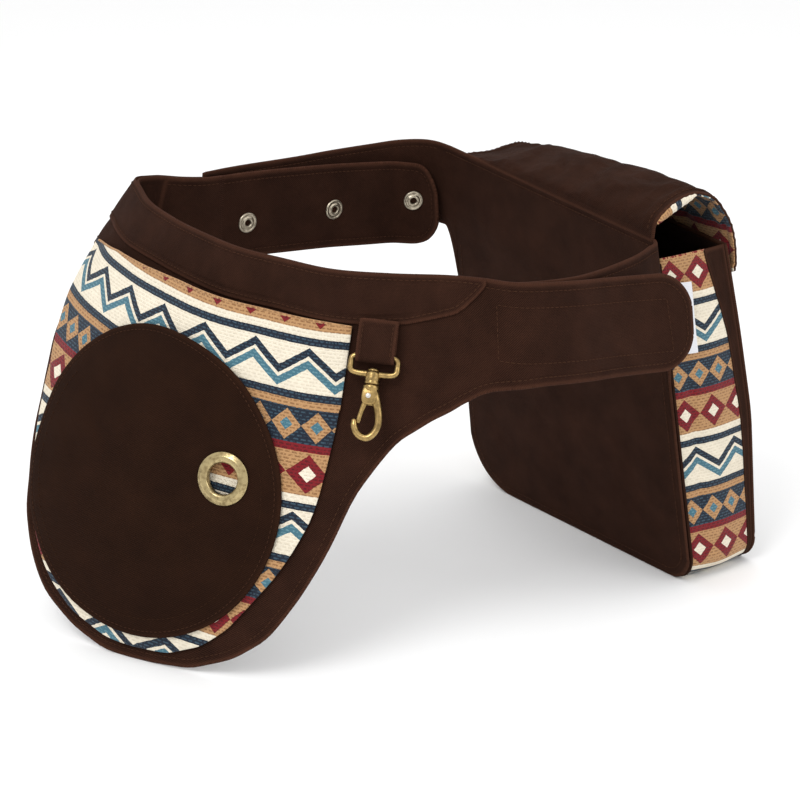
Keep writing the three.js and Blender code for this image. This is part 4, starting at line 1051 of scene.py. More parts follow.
facing_stations = np.linspace(1.1, 14.02, 200)
facing = front_sheet("waistband_facing_fabric", facing_stations, -0.2,
                     facing_lower(facing_stations), rows=26, lift=facing_lift, thick=FACING_T)
fit_canvas(facing, "belt", ("waistband_facing",))


# Pocket
def pocket_upper(station):
    return rounded(POCKET_UPPER, station, soft=0.2)


def pocket_lower(station):
    return rounded(POCKET_LOWER, station, soft=0.12)


def pocket_fullness(station, drop):
    """How far the pocket stands off, flatter round the side of the hip."""
    top, low = pocket_upper(station), pocket_lower(station)
    level = np.clip((drop - top) / np.maximum(low - top, 1), 0, 1)
    share = np.clip((station - POCKET_FIRST) / (POCKET_LAST - POCKET_FIRST), 0, 1)
    across = np.sin(math.pi * np.clip((share - 0.02) / 0.93, 0, 1)) ** 1.1
    across = across * (1 - 0.34 * np.clip((0.60 - share) / 0.4, 0, 1))
    down = np.cos(level * math.pi / 2) ** 0.8 * (0.62 + 0.75 * level)
    return POCKET_FULLNESS * across * down


def pocket_folds(station, drop):
    """Gathers along the mouth and soft folds, fading out at the sewn edges."""
    mouth = (1 - np.clip((drop - pocket_upper(station)) / 60.0, 0, 1)) ** 2
    along = FRONT.arc(station)
    sewn = (np.clip((pocket_lower(station) - drop) / 14.0, 0, 1)
            * np.clip((station - POCKET_FIRST) / 0.25, 0, 1)
            * np.clip((POCKET_LAST - station) / 0.25, 0, 1))
    gather = (0.9 * np.sin(along / 8.5 + 0.6 * np.sin(along / 31.0)) * mouth
              * np.clip((7.4 - station) / 2.0, 0, 1))
    return (0.55 * ripple(along, drop, wave=42.0, seed=3) + gather) * sewn


def pocket_lift(station, drop):
    return POCKET_LIFT + pocket_fullness(station, drop) + pocket_folds(station, drop)


def pocket_lining_lift(station, drop):
    folds = np.minimum(pocket_folds(station, drop), 0)
    return POCKET_LINING_LIFT + np.maximum(pocket_fullness(station, drop) + folds, 0) - 0.1


plan_line = FRONT.on(np.linspace(3.5, 13.5, 1200), np.full(1200, 60.0))[:, :2]
plan_length = run_length(plan_line)


def plan_distance(points):
    """Distance round the front unit in plan, so the print hangs upright on the pocket."""
    flat = points[..., :2].reshape(-1, 2)
    nearest = np.array([int(np.argmin(((plan_line - p) ** 2).sum(1))) for p in flat])
    return plan_length[nearest].reshape(points.shape[:-1])


pocket_stations = np.concatenate([
    [POCKET_FIRST, 4.88, 4.92], np.linspace(4.97, 11.36, 124), [11.41, 11.45, POCKET_LAST]])
pocket = front_sheet("treat_pocket_print", pocket_stations, pocket_upper(pocket_stations),
                     pocket_lower(pocket_stations), rows=96, lift=pocket_lift, thick=1.0,
                     hang_print=True)
fit(pocket, PRINT, "belt", ("treat_pocket",))

lining_stations = pocket_stations[2:-2:2]
pocket_lining = front_sheet(
    "treat_pocket_inside", lining_stations, pocket_upper(lining_stations) + 1.6,
    pocket_lower(lining_stations) - 1.5, rows=48, lift=pocket_lining_lift, thick=0.6)
fit(pocket_lining, LINING, "belt", ("treat_pocket_lining",))

# rolled hem along the pocket mouth
hem_stations = np.linspace(4.95, 11.44, 200)
hem_drops = pocket_upper(hem_stations) + 0.3
hem_lift = pocket_lift(hem_stations, hem_drops) + front_wave(hem_stations, hem_drops) + 0.35
hem = tube_object("treat_pocket_hem", FRONT.at(hem_stations, hem_drops, hem_lift), 0.85, sides=10)
fit(hem, PRINT, "belt")

# ------------------------------------------------------------------ round patch and eyelet
disk_centre = FRONT.on(DISK_STATION, DISK_DROP)
disk_step = float(np.linalg.norm(FRONT.on(8.9, 131.5) - FRONT.on(8.7, 131.5)) / 0.2)


def from_disk_centre(station, drop):
    return np.linalg.norm(FRONT.on(station, drop) - disk_centre, axis=-1)


def disk_point(radius, angle):
    """Station and drop at a true distance and an angle from the patch centre."""
    reach = radius.copy()
    for _ in range(12):
        station = DISK_STATION + reach * np.cos(angle) / disk_step
        distance = from_disk_centre(station, DISK_DROP + reach * np.sin(angle))
        reach = reach * (radius / np.maximum(distance, 1e-6)) ** 0.9
    return DISK_STATION + reach * np.cos(angle) / disk_step, DISK_DROP + reach * np.sin(angle)


def disk_lift(station, drop):
    share = from_disk_centre(station, drop) / DISK_R
    top = np.clip((DISK_DROP - drop) / DISK_R, 0, 1)        # it stands off along the top
    raised = 0.9 * top * np.clip(share, 0, 1)
    return (POCKET_LIFT + 1.0 + 0.75 + pocket_fullness(station, drop)
            + DISK_FULLNESS * np.maximum(1 - share * share, 0) ** 1.2 + raised
            + 0.35 * ripple(FRONT.arc(station), drop, wave=52.0, seed=6)
            + front_wave(station, drop))


def disk_sheet(name, rings=44, spokes=176, rim=4):
    """Closed round sheet from polar rows; row 0 is the centre."""
    angles = np.linspace(0, 2 * math.pi, spokes, endpoint=False)
    radii = DISK_R * np.linspace(0.0, 1.0, rings) ** 0.92
    radii[0] = 0.02
    station, drop = disk_point(*np.meshgrid(radii, angles, indexing="ij"))
    lift = disk_lift(station, drop)
    outer, inner = FRONT.at(station, drop, lift + DISK_T), FRONT.at(station, drop, lift)
    middle = (outer + inner) / 2
    normal = unit(outer[-1] - inner[-1])
    side = unit(middle[-1] - middle[-2])
    vertices = [outer.reshape(-1, 3), inner.reshape(-1, 3)]
    for k in range(1, rim + 1):
        angle = math.pi * k / (rim + 1)
        vertices.append(middle[-1] + normal * DISK_T / 2 * math.cos(angle)
                        + side * DISK_T / 2 * math.sin(angle))
    count = rings * spokes
    faces = []
    for i in range(rings - 1):
        for j in range(spokes):
            j2 = (j + 1) % spokes
            a, b = i * spokes + j, i * spokes + j2
            c, d = b + spokes, a + spokes
            faces.append((a, d, c, b))
            faces.append((a + count, b + count, c + count, d + count))
    faces.append(tuple(range(spokes)))
    faces.append(tuple(reversed(range(count, count + spokes))))
    last = (rings - 1) * spokes
    starts = [last] + [2 * count + k * spokes for k in range(rim)] + [count + last]
    for this, following in zip(starts[:-1], starts[1:]):
        for j in range(spokes):
            j2 = (j + 1) % spokes
            faces.append((this + j, following + j, following + j2, this + j2))
    pattern = FRONT.pattern(station, drop, 90.0)
    flat = pattern.reshape(-1, 2)
    edge = (DISK_R - from_disk_centre(station, drop)).reshape(-1)
    edge = np.concatenate([edge, edge, np.zeros(spokes * rim)])
    return closed_mesh(name, np.vstack(vertices), faces, {
        "pat": pad(np.vstack([flat, flat] + [pattern[-1]] * rim)), "edge": np.maximum(edge, 0)})


def patch_point(station, drop, extra=0.0):
    return FRONT.at(station, drop, disk_lift(station, drop) + extra)


def cut_hole(ob, matrix, radius, reach):
    """Cut a round hole along the local z of matrix."""
    vertices, faces = lathe([(0, -reach), (radius, -reach), (radius, reach), (0, reach)],
                            matrix, segments=40)
    cutter = closed_mesh(ob.name + "_cut", vertices, faces, {}, smooth=False)
    modifier = ob.modifiers.new("hole", "BOOLEAN")
    modifier.operation, modifier.object, modifier.solver = "DIFFERENCE", cutter, "EXACT"
    evaluated = ob.evaluated_get(bpy.context.evaluated_depsgraph_get())
    mesh = bpy.data.meshes.new_from_object(evaluated)
    ob.modifiers.clear()
    uncut = ob.data
    ob.data = mesh
    bpy.data.objects.remove(cutter)
    bpy.data.meshes.remove(uncut)


eyelet_along = unit(patch_point(EYELET_STATION + 0.5, EYELET_DROP)
                    - patch_point(EYELET_STATION - 0.5, EYELET_DROP))
eyelet_up = unit(patch_point(EYELET_STATION, EYELET_DROP - 12)
                 - patch_point(EYELET_STATION, EYELET_DROP + 12))
eyelet_out = unit(np.cross(eyelet_along, eyelet_up))
EYELET_FRAME = basis(patch_point(EYELET_STATION, EYELET_DROP, 0.25),
                     unit(np.cross(eyelet_up, eyelet_out)), eyelet_up, eyelet_out)

disk = disk_sheet("bag_patch_fabric")
cut_hole(disk, EYELET_FRAME, EYELET_BORE + 1.6, reach=9)
fit(disk, CANVAS_DARK, "belt", ("bag_dispenser_patch",))

# Profiles: radius, height above the patch.
EYELET_RING = [
    (EYELET_BORE, -0.9), (EYELET_BORE, 2.35), (EYELET_BORE + 0.9, 3.25), (EYELET_BORE + 3.3, 3.45),
    (EYELET_FLANGE - 1.3, 2.75), (EYELET_FLANGE, 1.95), (EYELET_FLANGE, 1.45),
    (EYELET_FLANGE - 0.8, 1.3), (EYELET_BORE + 0.9, 1.45), (EYELET_BORE + 0.9, -0.9),
    (EYELET_BORE, -0.9)]
EYELET_WASHER = [
    (EYELET_BORE + 0.95, -1.5), (EYELET_FLANGE - 1.0, -1.2), (EYELET_FLANGE - 1.0, -0.75),
    (EYELET_BORE + 0.95, -0.9), (EYELET_BORE + 0.95, -1.5)]
eyelet = merge_parts("dispenser_eyelet_ring", [
    lathe(EYELET_RING, EYELET_FRAME, segments=72, corner=0.55, steps=4),
    lathe(EYELET_WASHER, EYELET_FRAME, segments=56, corner=0.15, steps=2)])
fit(eyelet, EYELET, "belt", ("dispenser_eyelet",))


# ------------------------------------------------------------------ front topstitching
def front_line(stations, drops, lift):
    return (FRONT.at(stations, drops, lift + front_wave(stations, drops)),
            FRONT.normal(stations, drops))


def panel_edge_line(stations, inset=3.6):
    """Path inside the panel's outline, along the lower edge and back along the upper."""
    low = panel_lower(stations)
    path, normals = front_line(np.concatenate([stations, stations[::-1]]),
                               np.concatenate([low, panel_upper(stations)[::-1]]), PANEL_T)
    # even spacing, then step inwards
    lengths = run_length(path)
    even = np.arange(0, lengths[-1], 2.0)
    path, normals = sample(path, lengths, even), unit(sample(normals, lengths, even))
    tangents = unit(np.gradient(path, axis=0))
    for _ in range(2):
        blurred = (tangents[:-2] + tangents[1:-1] * 2 + tangents[2:]) / 4
        tangents = unit(np.vstack([tangents[:1], blurred, tangents[-1:]]))
    side = np.cross(normals, tangents)
    centre = FRONT.on(float(np.median(stations)), float(np.median(low)) * 0.5)
    moved = path + side * inset
    probe = len(path) // 5
    if np.linalg.norm(moved[probe] - centre) > np.linalg.norm(path[probe] - centre):
        moved = path - side * inset
    return moved, normals


sew("front_edge_stitching", [panel_edge_line(panel_stations[2:])], width=0.27,
    bend=FRONT_TAIL_BEND)

# rectangle on the tail that holds the hook tape: station, drop
TAPE_CORNERS = [(14.35, 11.5), (18.42, 12.8), (18.5, 41.0), (14.35, 39.5)]
tape_lines = [
    front_line(np.linspace(start[0], end[0], 90), np.linspace(start[1], end[1], 90), PANEL_T)
    for start, end in zip(TAPE_CORNERS, TAPE_CORNERS[1:] + TAPE_CORNERS[:1])]
sew("closure_tape_stitching", tape_lines, slot="hook_and_loop", width=0.25, bend=FRONT_TAIL_BEND)

# facing: one row under the waist edge, one above its lower edge
top_stations = np.linspace(1.25, 13.86, 420)
low_stations = np.linspace(1.25, 13.9, 520)
low_drops = facing_lower(low_stations) - 2.2 - np.clip((low_stations - 12.0) / 2.0, 0, 1) * 1.2
facing_lines = [
    front_line(stations, drops, facing_lift(stations, drops) + FACING_T)
    for stations, drops in ((top_stations, np.full(420, 2.4)), (low_stations, low_drops))]
sew("waistband_stitching", facing_lines, "belt", width=0.27)


def patch_line(radius, first, last, count):
    """Arc on the patch between two angles in degrees."""
    angles = np.radians(np.linspace(first, last, count))
    station, drop = disk_point(np.full_like(angles, radius), angles)
    return patch_point(station, drop, DISK_T), FRONT.normal(station, drop)


sew("patch_stitching", [patch_line(DISK_R * 0.885, -24, 205, 300)], "belt",
    material=THREAD_TAN, width=0.22, pitch=3.1, lift=0.02)
sew("patch_edge_stitching", [patch_line(DISK_R - 2.6, 0, 360, 500)], "belt",
    width=0.18, pitch=2.8, length=2.1, lift=-0.02)

# hook tape on the inside of the tail
hook_tape = front_sheet("closure_hook_strip", np.linspace(14.36, 18.4, 60), 10.0, 42.5,
                        rows=16, lift=-1.15, thick=1.0)
fit(hook_tape, HOOK_TAPE, None, ("closure_hook_tape",), FRONT_TAIL_BEND)

# ------------------------------------------------------------------ hook tab
TAB_FRAME = surface_frame(FRONT, TAB_STATION, TAB_TOP)
TAB_BACK, TAB_FRONT = 3.0, 9.4              # lifts of the loop's two faces
TAB_HALF_T = 0.55
TAB_FOLD_R = (TAB_FRONT - TAB_BACK) / 2 - TAB_HALF_T
TAB_HEAD, TAB_BOTTOM = 3.0, -TAB_LENGTH + 3.2


def tab_closing(y):
    """The loop closes flat at its top, under the facing."""
    return np.clip((y + 9.0) / 12.0, 0, 1) ** 1.5 * 2.9


def make_tab():
    fold = np.linspace(0, math.pi, 18)[1:-1]
    run = np.linspace(TAB_HEAD, TAB_BOTTOM, 22)
    level, ahead = np.zeros(22), np.ones(22)
    y = np.concatenate([run, TAB_BOTTOM - TAB_FOLD_R * np.sin(fold), run[::-1]])
    z = np.concatenate([ahead * (TAB_BACK + TAB_HALF_T),
                        (TAB_BACK + TAB_FRONT) / 2 - TAB_FOLD_R * np.cos(fold),
                        ahead * (TAB_FRONT - TAB_HALF_T)])
    normal_y = np.concatenate([level, -np.sin(fold), level])[:, None]
    normal_z = np.concatenate([-ahead, -np.cos(fold), ahead])[:, None]
    z = z - tab_closing(y) * (normal_z[:, 0] > 0.5)
    x = np.linspace(-TAB_WIDTH / 2 + 0.5, TAB_WIDTH / 2 - 0.5, 18)[None, :]
    pattern = np.stack(np.broadcast_arrays(x, run_length(np.stack([y, z], 1))[:, None]), -1)
    y, z = y[:, None], z[:, None]
    crown = 0.25 * (1 - (x / (TAB_WIDTH / 2)) ** 2)
    wave = 0.12 * np.sin(y * 0.9 + x * 0.5)
    outer = np.stack(np.broadcast_arrays(x, y + normal_y * (TAB_HALF_T + crown),
                                         z + normal_z * (TAB_HALF_T + crown + wave)), -1)
    inner = np.stack(np.broadcast_arrays(x, y - normal_y * TAB_HALF_T,
                                         z - normal_z * TAB_HALF_T), -1)
    tab = sheet("hook_tab_strap", place(TAB_FRAME, outer), place(TAB_FRAME, inner), pattern)
    fit_canvas(tab, "belt", ("hook_tab",))

    y = np.linspace(1.0, TAB_BOTTOM + 0.5, 40)
    z = TAB_FRONT - tab_closing(y) + 0.2
    lines = [(place(TAB_FRAME, np.stack([np.full_like(y, x), y, z], 1)),
              np.repeat(TAB_FRAME[:3, 2][None], len(y), 0))
             for x in (-TAB_WIDTH / 2 + 2.2, TAB_WIDTH / 2 - 2.2)]
    sew("hook_tab_stitching", lines, "belt", width=0.24, pitch=2.8, length=2.1)


make_tab()

# ------------------------------------------------------------------ snap hook
# Hook frame: x against the bow's swing axis, y along the swivel axis, z across both.
hook_x = -np.array(JOINTS["bow_swing"]["axis"], float)
hook_y = np.array(JOINTS["hook_swivel"]["axis"], float)
HOOK = basis(np.array(JOINTS["bow_swing"]["pos_m"]) * 1000 + ORIGIN, unit(hook_x), unit(hook_y),
             unit(np.cross(hook_x, hook_y)))
# the same place with local z along the hook's y, for turned parts
HOOK_AXIS = HOOK @ np.array([[1, 0, 0, 0], [0, 0, 1, 0], [0, -1, 0, 0], [0, 0, 0, 1.0]])
BOW_HALF_W, BOW_D, BOW_WIRE = 11.8, 9.2, 1.4
BOW_SQUARENESS = 0.42
BOSS_TOP, BOSS_BOTTOM = -BOW_D + 1.2, -BOW_D - 5.2
COLLAR = BOSS_BOTTOM - 0.3
PIN_X, PIN_Y = -0.6, COLLAR - 5.6
# Profiles: radius, place along the hook.
BOSS_PROFILE = [
    (1.95, BOSS_BOTTOM), (3.5, BOSS_BOTTOM), (3.85, BOSS_BOTTOM + 0.9), (3.55, BOSS_BOTTOM + 1.6),
    (3.8, BOSS_BOTTOM + 2.8), (3.7, BOSS_TOP - 0.9), (3.2, BOSS_TOP), (1.95, BOSS_TOP),
    (1.95, BOSS_BOTTOM)]
POST_PROFILE = [
    (0, COLLAR - 3.4), (3.1, COLLAR - 3.2), (4.15, COLLAR - 2.0), (4.15, COLLAR - 0.7),
    (3.6, COLLAR), (1.6, COLLAR), (1.6, BOSS_TOP + 0.3), (3.0, BOSS_TOP + 0.3),
    (2.7, BOSS_TOP + 1.3), (1.5, BOSS_TOP + 1.9), (0, BOSS_TOP + 2.0)]
# Centre line of the bent bar: x, distance below the collar.
BAR_LINE = [(0.3, 2.2), (1.9, 5.0), (3.4, 8.0), (4.7, 11.5), (5.6, 15.5), (5.7, 19.5),
            (4.5, 23.3), (1.8, 26.1), (-1.4, 26.4), (-4.4, 24.4), (-6.0, 21.3), (-6.35, 18.6)]
# Rounded plate: height from its middle, size of the outline there.
CHEEK_LEVELS = [(-0.62, 0.86), (-0.42, 0.97), (-0.2, 1.0), (0.2, 1.0), (0.42, 0.97), (0.62, 0.86)]
CHEEK_SIDES = 40
PIN_PROFILE = [
    (0, -3.75), (0.8, -3.7), (1.35, -3.3), (1.35, -3.05), (0.62, -3.05), (0.62, 3.05),
    (1.35, 3.05), (1.35, 3.3), (0.8, 3.7), (0, 3.75)]
GATE_LINE = [[0, 0, 0.7], [-1.3, -3.4, 0.7], [-2.5, -7.4, 0.7], [-3.2, -10.8, 0.7],
             [-3.55, -13.4, 0.7]]
HUB_PROFILE = [(0.8, -0.35), (2.1, -0.35), (2.1, 1.7), (0.8, 1.7), (0.8, -0.35)]


def power_wave(wave, exponent):
    return np.sign(wave) * np.abs(wave) ** exponent


def make_bow():
    """Rounded rectangle of wire, thicker along its lower side, with a boss below."""
    angles = np.linspace(0, 2 * math.pi, 120, endpoint=False)
    loop = np.stack([
        BOW_HALF_W * power_wave(np.cos(angles), BOW_SQUARENESS),
        (BOW_D / 2) * power_wave(np.sin(angles), BOW_SQUARENESS) - BOW_D / 2,
        np.zeros_like(angles)], 1)
    loop = np.vstack([loop, loop[:1]])
    lengths = run_length(loop)
    loop = sample(loop, lengths, np.linspace(0, lengths[-1], 110, endpoint=False))
    lower = loop[:, 1] < -BOW_D / 2
    radius = BOW_WIRE + 0.28 * np.exp(-((loop[:, 0] / 5.0) ** 2)) * lower + 0.12 * lower
    wire = tube(place(HOOK, loop), radius, sides=16, closed=True)[:2]
    boss = lathe(BOSS_PROFILE, HOOK_AXIS, segments=40, corner=0.4, steps=3)
    bow = merge_parts("snap_hook_d_ring", [wire, boss])
    fit(bow, BRASS, "hook_bow", ("snap_hook_bow",))


def cheek(centre_z):
    angles = np.linspace(0, 2 * math.pi, CHEEK_SIDES, endpoint=False)
    x, y = np.cos(angles), np.sin(angles)
    radius = 1.0 / (np.abs(x / 3.7) ** 3.2 + np.abs(y / 4.7) ** 3.2) ** (1 / 3.2)
    rings = [np.stack([radius * x * size - 0.2, radius * y * size + COLLAR - 5.3,
                       np.full(CHEEK_SIDES, centre_z + height)], 1)
             for height, size in CHEEK_LEVELS]
    return place(HOOK, np.vstack(rings)), ring_faces(len(rings), CHEEK_SIDES)


def make_hook_body():
    """Post, bent bar and a forked head of two cheeks that hold the gate."""
    post = lathe(POST_PROFILE, HOOK_AXIS, segments=40, corner=0.35, steps=3)
    line = smooth_path([[x, COLLAR - below, 0] for x, below in BAR_LINE], 90)
    radius = np.interp(np.linspace(0, 1, 90), [0, 0.12, 0.25, 0.5, 0.75, 0.93, 1],
                       [3.1, 2.7, 2.05, 1.75, 1.8, 1.7, 1.35])
    bar = tube(place(HOOK, line), radius, sides=18, up=HOOK[:3, 2], squash=0.92)[:2]
    body = merge_parts("snap_hook_cast_body", [post, bar, cheek(2.45), cheek(-2.45)])
    fit(body, BRASS, "hook", ("snap_hook_body",))


make_bow()
make_hook_body()
PIN = HOOK.copy()
PIN[:3, 3] = place(HOOK, [PIN_X, PIN_Y, 0])
rivet = merge_parts("gate_rivet", [lathe(PIN_PROFILE, PIN, segments=28, corner=0.12, steps=2)])
fit(rivet, STEEL, "hook", ("gate_pin",))


def make_gate():
    """Hub round the pin and a leaf that closes behind the nose."""
    radius = np.interp(np.linspace(0, 1, 40), [0, 0.15, 0.5, 0.9, 1], [1.7, 1.55, 1.2, 1.15, 0.9])
    leaf = tube(place(PIN, smooth_path(GATE_LINE, 40)), radius, sides=14, up=PIN[:3, 2],
                squash=0.72)[:2]
    hub = lathe(HUB_PROFILE, PIN, segments=32, corner=0.25, steps=2)
    gate = merge_parts("snap_hook_gate_leaf", [leaf, hub])
    fit(gate, BRASS, "gate", ("snap_hook_gate",))


def make_spring():
    """Two turns of wire round the pin and a short leg along the gate."""
    angles = np.linspace(0, 4 * math.pi, 90)
    coil = np.stack([1.3 * np.cos(angles), 1.3 * np.sin(angles),
                     -1.75 + angles / (4 * math.pi) * 1.1], 1)
    leg = np.array([[-1.2, -2.4, -0.6], [-1.9, -4.2, -0.45]])
    spring = tube_object("gate_coil_spring", place(PIN, np.vstack([coil, leg])), 0.2, sides=8)
    start, end = (tuple(to_frame(place(PIN, p))) for p in ([-0.7, -1.5, -0.6], [-1.7, -3.7, -0.5]))
    fit(spring, STEEL, None, ("gate_spring",), ("hook", "gate", start, end))


make_gate()
make_spring()

# ------------------------------------------------------------------ rear unit
STATION_MM = 186 / FLAT_STEPS


def rear_full(station):
    """Length of the ruling on the flat part, mm."""
    return np.linalg.norm(REAR.ruling(np.clip(station, NEAR_STATION, FAR_STATION))[1], axis=-1)


def corner_drop(distance, radius):
    """How far a round corner lifts the lower edge, at a distance from the side."""
    rise = radius - np.sqrt(np.maximum(radius * radius - (radius - distance) ** 2, 0))
    return np.where(distance >= radius, 0.0, rise)


def end_distances(station):
    """Distance to the near and the far end of the flat part, mm."""
    return (station - NEAR_STATION) * STATION_MM, (FAR_STATION - station) * STATION_MM


def rear_lower(station):
    band = BELT_WIDTH + 0.5
    near, far = end_distances(station)
    out = rear_full(station) - np.maximum(corner_drop(near, R_NEAR), corner_drop(far, R_FAR)) - 0.12
    for distance, reach in ((near, 0.55), (far, 0.45)):
        flare = np.clip(1 + distance / (reach * STATION_MM), 0, 1) ** 2 * 34
        out = np.where(distance < 0, band + flare, out)
    return out


def rear_wave(station, drop):
    """Soft unevenness: inwards on the flat part, both ways on the belt."""
    along = REAR.arc(station, 60.0)
    inside = np.clip((station - 7.1) / 0.9, 0, 1) * np.clip((13.9 - station) / 0.9, 0, 1)
    low = np.clip((rear_full(station) - drop) / 40.0, 0, 1)
    sink = (-1.6 * np.abs(ripple(along, drop, wave=120.0, seed=2))
            - 0.5 * ripple(along, drop, wave=45.0, seed=5))
    belt = 0.35 * ripple(along, drop, wave=60.0, seed=7) * (1 - inside)
    return (inside * np.clip(drop / 50.0, 0, 1) * low * sink
            - belt * np.clip(drop / 20.0, 0, 1))


def rear_sheet(name, stations, upper, lower, rows, lift, thick):
    across, down = grid(stations, upper, lower, rows)
    lift = rear_wave(across, down) + lift
    return sheet(name, REAR.at(across, down, lift + thick), REAR.at(across, down, lift),
                 REAR.pattern(across, down, 60.0))


rear_stations = np.unique(np.concatenate([
    np.linspace(0.0, 6.4, 90), np.linspace(6.4, 7.7, 60), np.linspace(7.7, 12.5, 76),
    np.linspace(12.5, 14.5, 70), np.linspace(14.5, 21.0, 90)]))
rear_panel = rear_sheet("rear_belt_panel", rear_stations, 0.0, rear_lower(rear_stations),
                        rows=84, lift=0.0, thick=REAR_T)
fit_canvas(rear_panel, "belt", ("rear_back_panel",))
loop_tape = rear_sheet("closure_loop_strip", np.linspace(0.45, 3.45, 50), 9.5, 41.5,
                       rows=16, lift=1.85, thick=0.8)
fit(loop_tape, LOOP_TAPE, "belt", ("closure_loop_tape",))


def rear_line(stations, drops, inside=False):
    """Stitch path on the outside face, or on the inside face."""
    drops = np.broadcast_to(drops, stations.shape)
    lift = rear_wave(stations, drops) + (0.0 if inside else REAR_T)
    normals = REAR.normal(stations, drops)
    return REAR.at(stations, drops, lift), (-normals if inside else normals)


def make_rear_stitching():
    strip = np.linspace(0.15, 6.6, 300)
    lines = [rear_line(strip, 3.4), rear_line(strip[:280], rear_lower(strip[:280]) - 3.4)]
    extension = np.linspace(14.6, 20.9, 300)
    for drop in (3.4, BELT_WIDTH - 2.6):
        for inside in (False, True):
            lines.append(rear_line(extension, drop, inside))
    # inside face: under the waist edge and beside the pouch seam
    lines.append(rear_line(np.linspace(6.9, 14.2, 420), 3.6, inside=True))
    bottom = np.linspace(7.16, 13.82, 500)
    near, far = end_distances(bottom)
    corners = np.maximum(corner_drop(near - 4.4, R_NEAR - 3), corner_drop(far - 4.4, R_FAR - 3))
    lines.append(rear_line(bottom, rear_full(bottom) - 4.6 - corners, inside=True))
    for station in (7.165, 13.83):
        drops = np.linspace(60, float(rear_lower(station)) - 8, 200)
        lines.append(rear_line(np.full_like(drops, station), drops, inside=True))
    sew("rear_panel_stitching", lines, "belt", width=0.26)


make_rear_stitching()

# ------------------------------------------------------------------ back tail
BACK_STEP = float(np.linalg.norm(REAR.on(14.6, 30.0) - REAR.on(15.6, 30.0)))
BACK_TAIL_BEND = ("belt", "back_tail", tuple(to_frame(REAR.at(20.55, 25.0, -5.4))),
                  tuple(to_frame(REAR.at(19.55, 25.0, -5.4))))


def back_drop(station):
    return rounded(BACK_TAIL_DROP, station, soft=0.3)


def back_wave(station, drop):
    return (0.45 * ripple(REAR.arc(station), drop, wave=70.0, seed=3)
            * np.clip((20.3 - station) / 1.5, 0, 1))


def make_back_tail():
    """One sheet that runs from the tail's tip on to the start of the front panel."""
    tip = BACK_TAIL_TIP + (
        TIP_R * (1 - np.cos(np.linspace(0.16, math.pi / 2, 22)))) / BACK_STEP
    stations = np.concatenate([tip, np.linspace(tip[-1] + 0.05, BACK_TAIL_ROOT - 0.03, 110)])
    inset = tip_inset((stations - BACK_TAIL_TIP) * BACK_STEP)
    upper = back_drop(stations)
    across, down = grid(stations, upper + inset, upper + BELT_WIDTH - inset, 30)
    lift = BACK_LIFT + back_wave(across, down)
    lap_stations = np.linspace(0.37, 2.64, 60)
    lap, lap_down = grid(lap_stations, panel_upper(lap_stations), panel_lower(lap_stations), 30)
    lap_lift = front_wave(lap, lap_down)
    lap_along = REAR.arc(BACK_TAIL_ROOT) + (FRONT.arc(lap) - FRONT.arc(0.34))
    tail = sheet(
        "back_belt_tail",
        np.concatenate([REAR.at(across, down, lift + PANEL_T),
                        FRONT.at(lap, lap_down, PANEL_T + lap_lift)]),
        np.concatenate([REAR.at(across, down, lift), FRONT.at(lap, lap_down, lap_lift)]),
        np.concatenate([REAR.pattern(across, down, 25.0), np.stack([lap_along, lap_down], -1)]))
    fit_canvas(tail, None, ("back_tail",), BACK_TAIL_BEND)


def back_tail_line(inside, inset=3.8):
    """Path from the root along the lower edge, round the tip and back along the upper."""
    stations = np.linspace(BACK_TAIL_TIP + inset / BACK_STEP + 0.002, BACK_TAIL_ROOT, 900)
    radius = TIP_R - inset
    rest = np.clip(TIP_R - (stations - BACK_TAIL_TIP) * BACK_STEP, 0, radius)
    edge = TIP_R - np.sqrt(np.maximum(radius ** 2 - rest ** 2, 0))
    upper = back_drop(stations)
    drops = np.concatenate([(upper + BELT_WIDTH - edge)[::-1], upper + edge])
    stations = np.concatenate([stations[::-1], stations])
    lift = (BACK_LIFT if inside else BACK_LIFT + PANEL_T) + back_wave(stations, drops)
    normals = REAR.normal(stations, drops)
    return REAR.at(stations, drops, lift), (-normals if inside else normals)


make_back_tail()
sew("back_tail_stitching", [back_tail_line(inside=True), back_tail_line(inside=False)],
    width=0.26, bend=BACK_TAIL_BEND)

lap_stations = np.linspace(0.42, 2.6, 140)
lap_lines = []
for drops in (panel_upper(lap_stations) + 3.4, panel_lower(lap_stations) - 3.4):
    lap_lines.append(front_line(lap_stations, drops, PANEL_T))
    path, normals = front_line(lap_stations, drops, 0.0)
    lap_lines.append((path, -normals))
sew("lap_seam_stitching", lap_lines, "belt", width=0.26)

# Press studs and sockets: radius, then height from the tail's inner face or the rear surface.
STUD_PROFILE = [
    (0, 0.3), (1.85, 0.3), (1.95, -1.0), (2.4, -1.35), (3.3, -1.3), (3.9, -0.75), (4.6, -0.7),
    (5.2, -1.05), (5.85, -0.9), (6.15, -0.3), (6.05, -0.02), (2.5, 0.1), (2.5, 2.1), (4.9, 2.1),
    (4.9, 2.7), (2.6, 3.0), (2.6, 4.1), (2.0, 4.5), (0, 4.5)]
SOCKET_PROFILE = [
    (3.7, -0.9), (3.7, -2.4), (5.5, -2.5), (5.9, -2.1), (5.9, -0.25), (2.5, -0.2), (2.5, 1.95),
    (6.1, 1.95), (6.2, 2.4), (5.2, 3.0), (2.6, 3.5), (0, 3.6), (0, -0.9), (3.7, -0.9)]
stud_profile = [(radius, BACK_LIFT + height) for radius, height in STUD_PROFILE]
for number, (station, drop) in enumerate(SNAPS, 1):
    snap_frame = surface_frame(REAR, station, drop)
    for kind, profile, corner, body in (("stud", stud_profile, 0.22, "back_tail"),
                                        ("socket", SOCKET_PROFILE, 0.2, "belt")):
        part = lathe(profile, snap_frame, segments=48, corner=corner, steps=3)
        cap = merge_parts(f"press_{kind}_cap_{number}", [part])
        fit(cap, SNAP, body, (f"press_{kind}_{number}",))

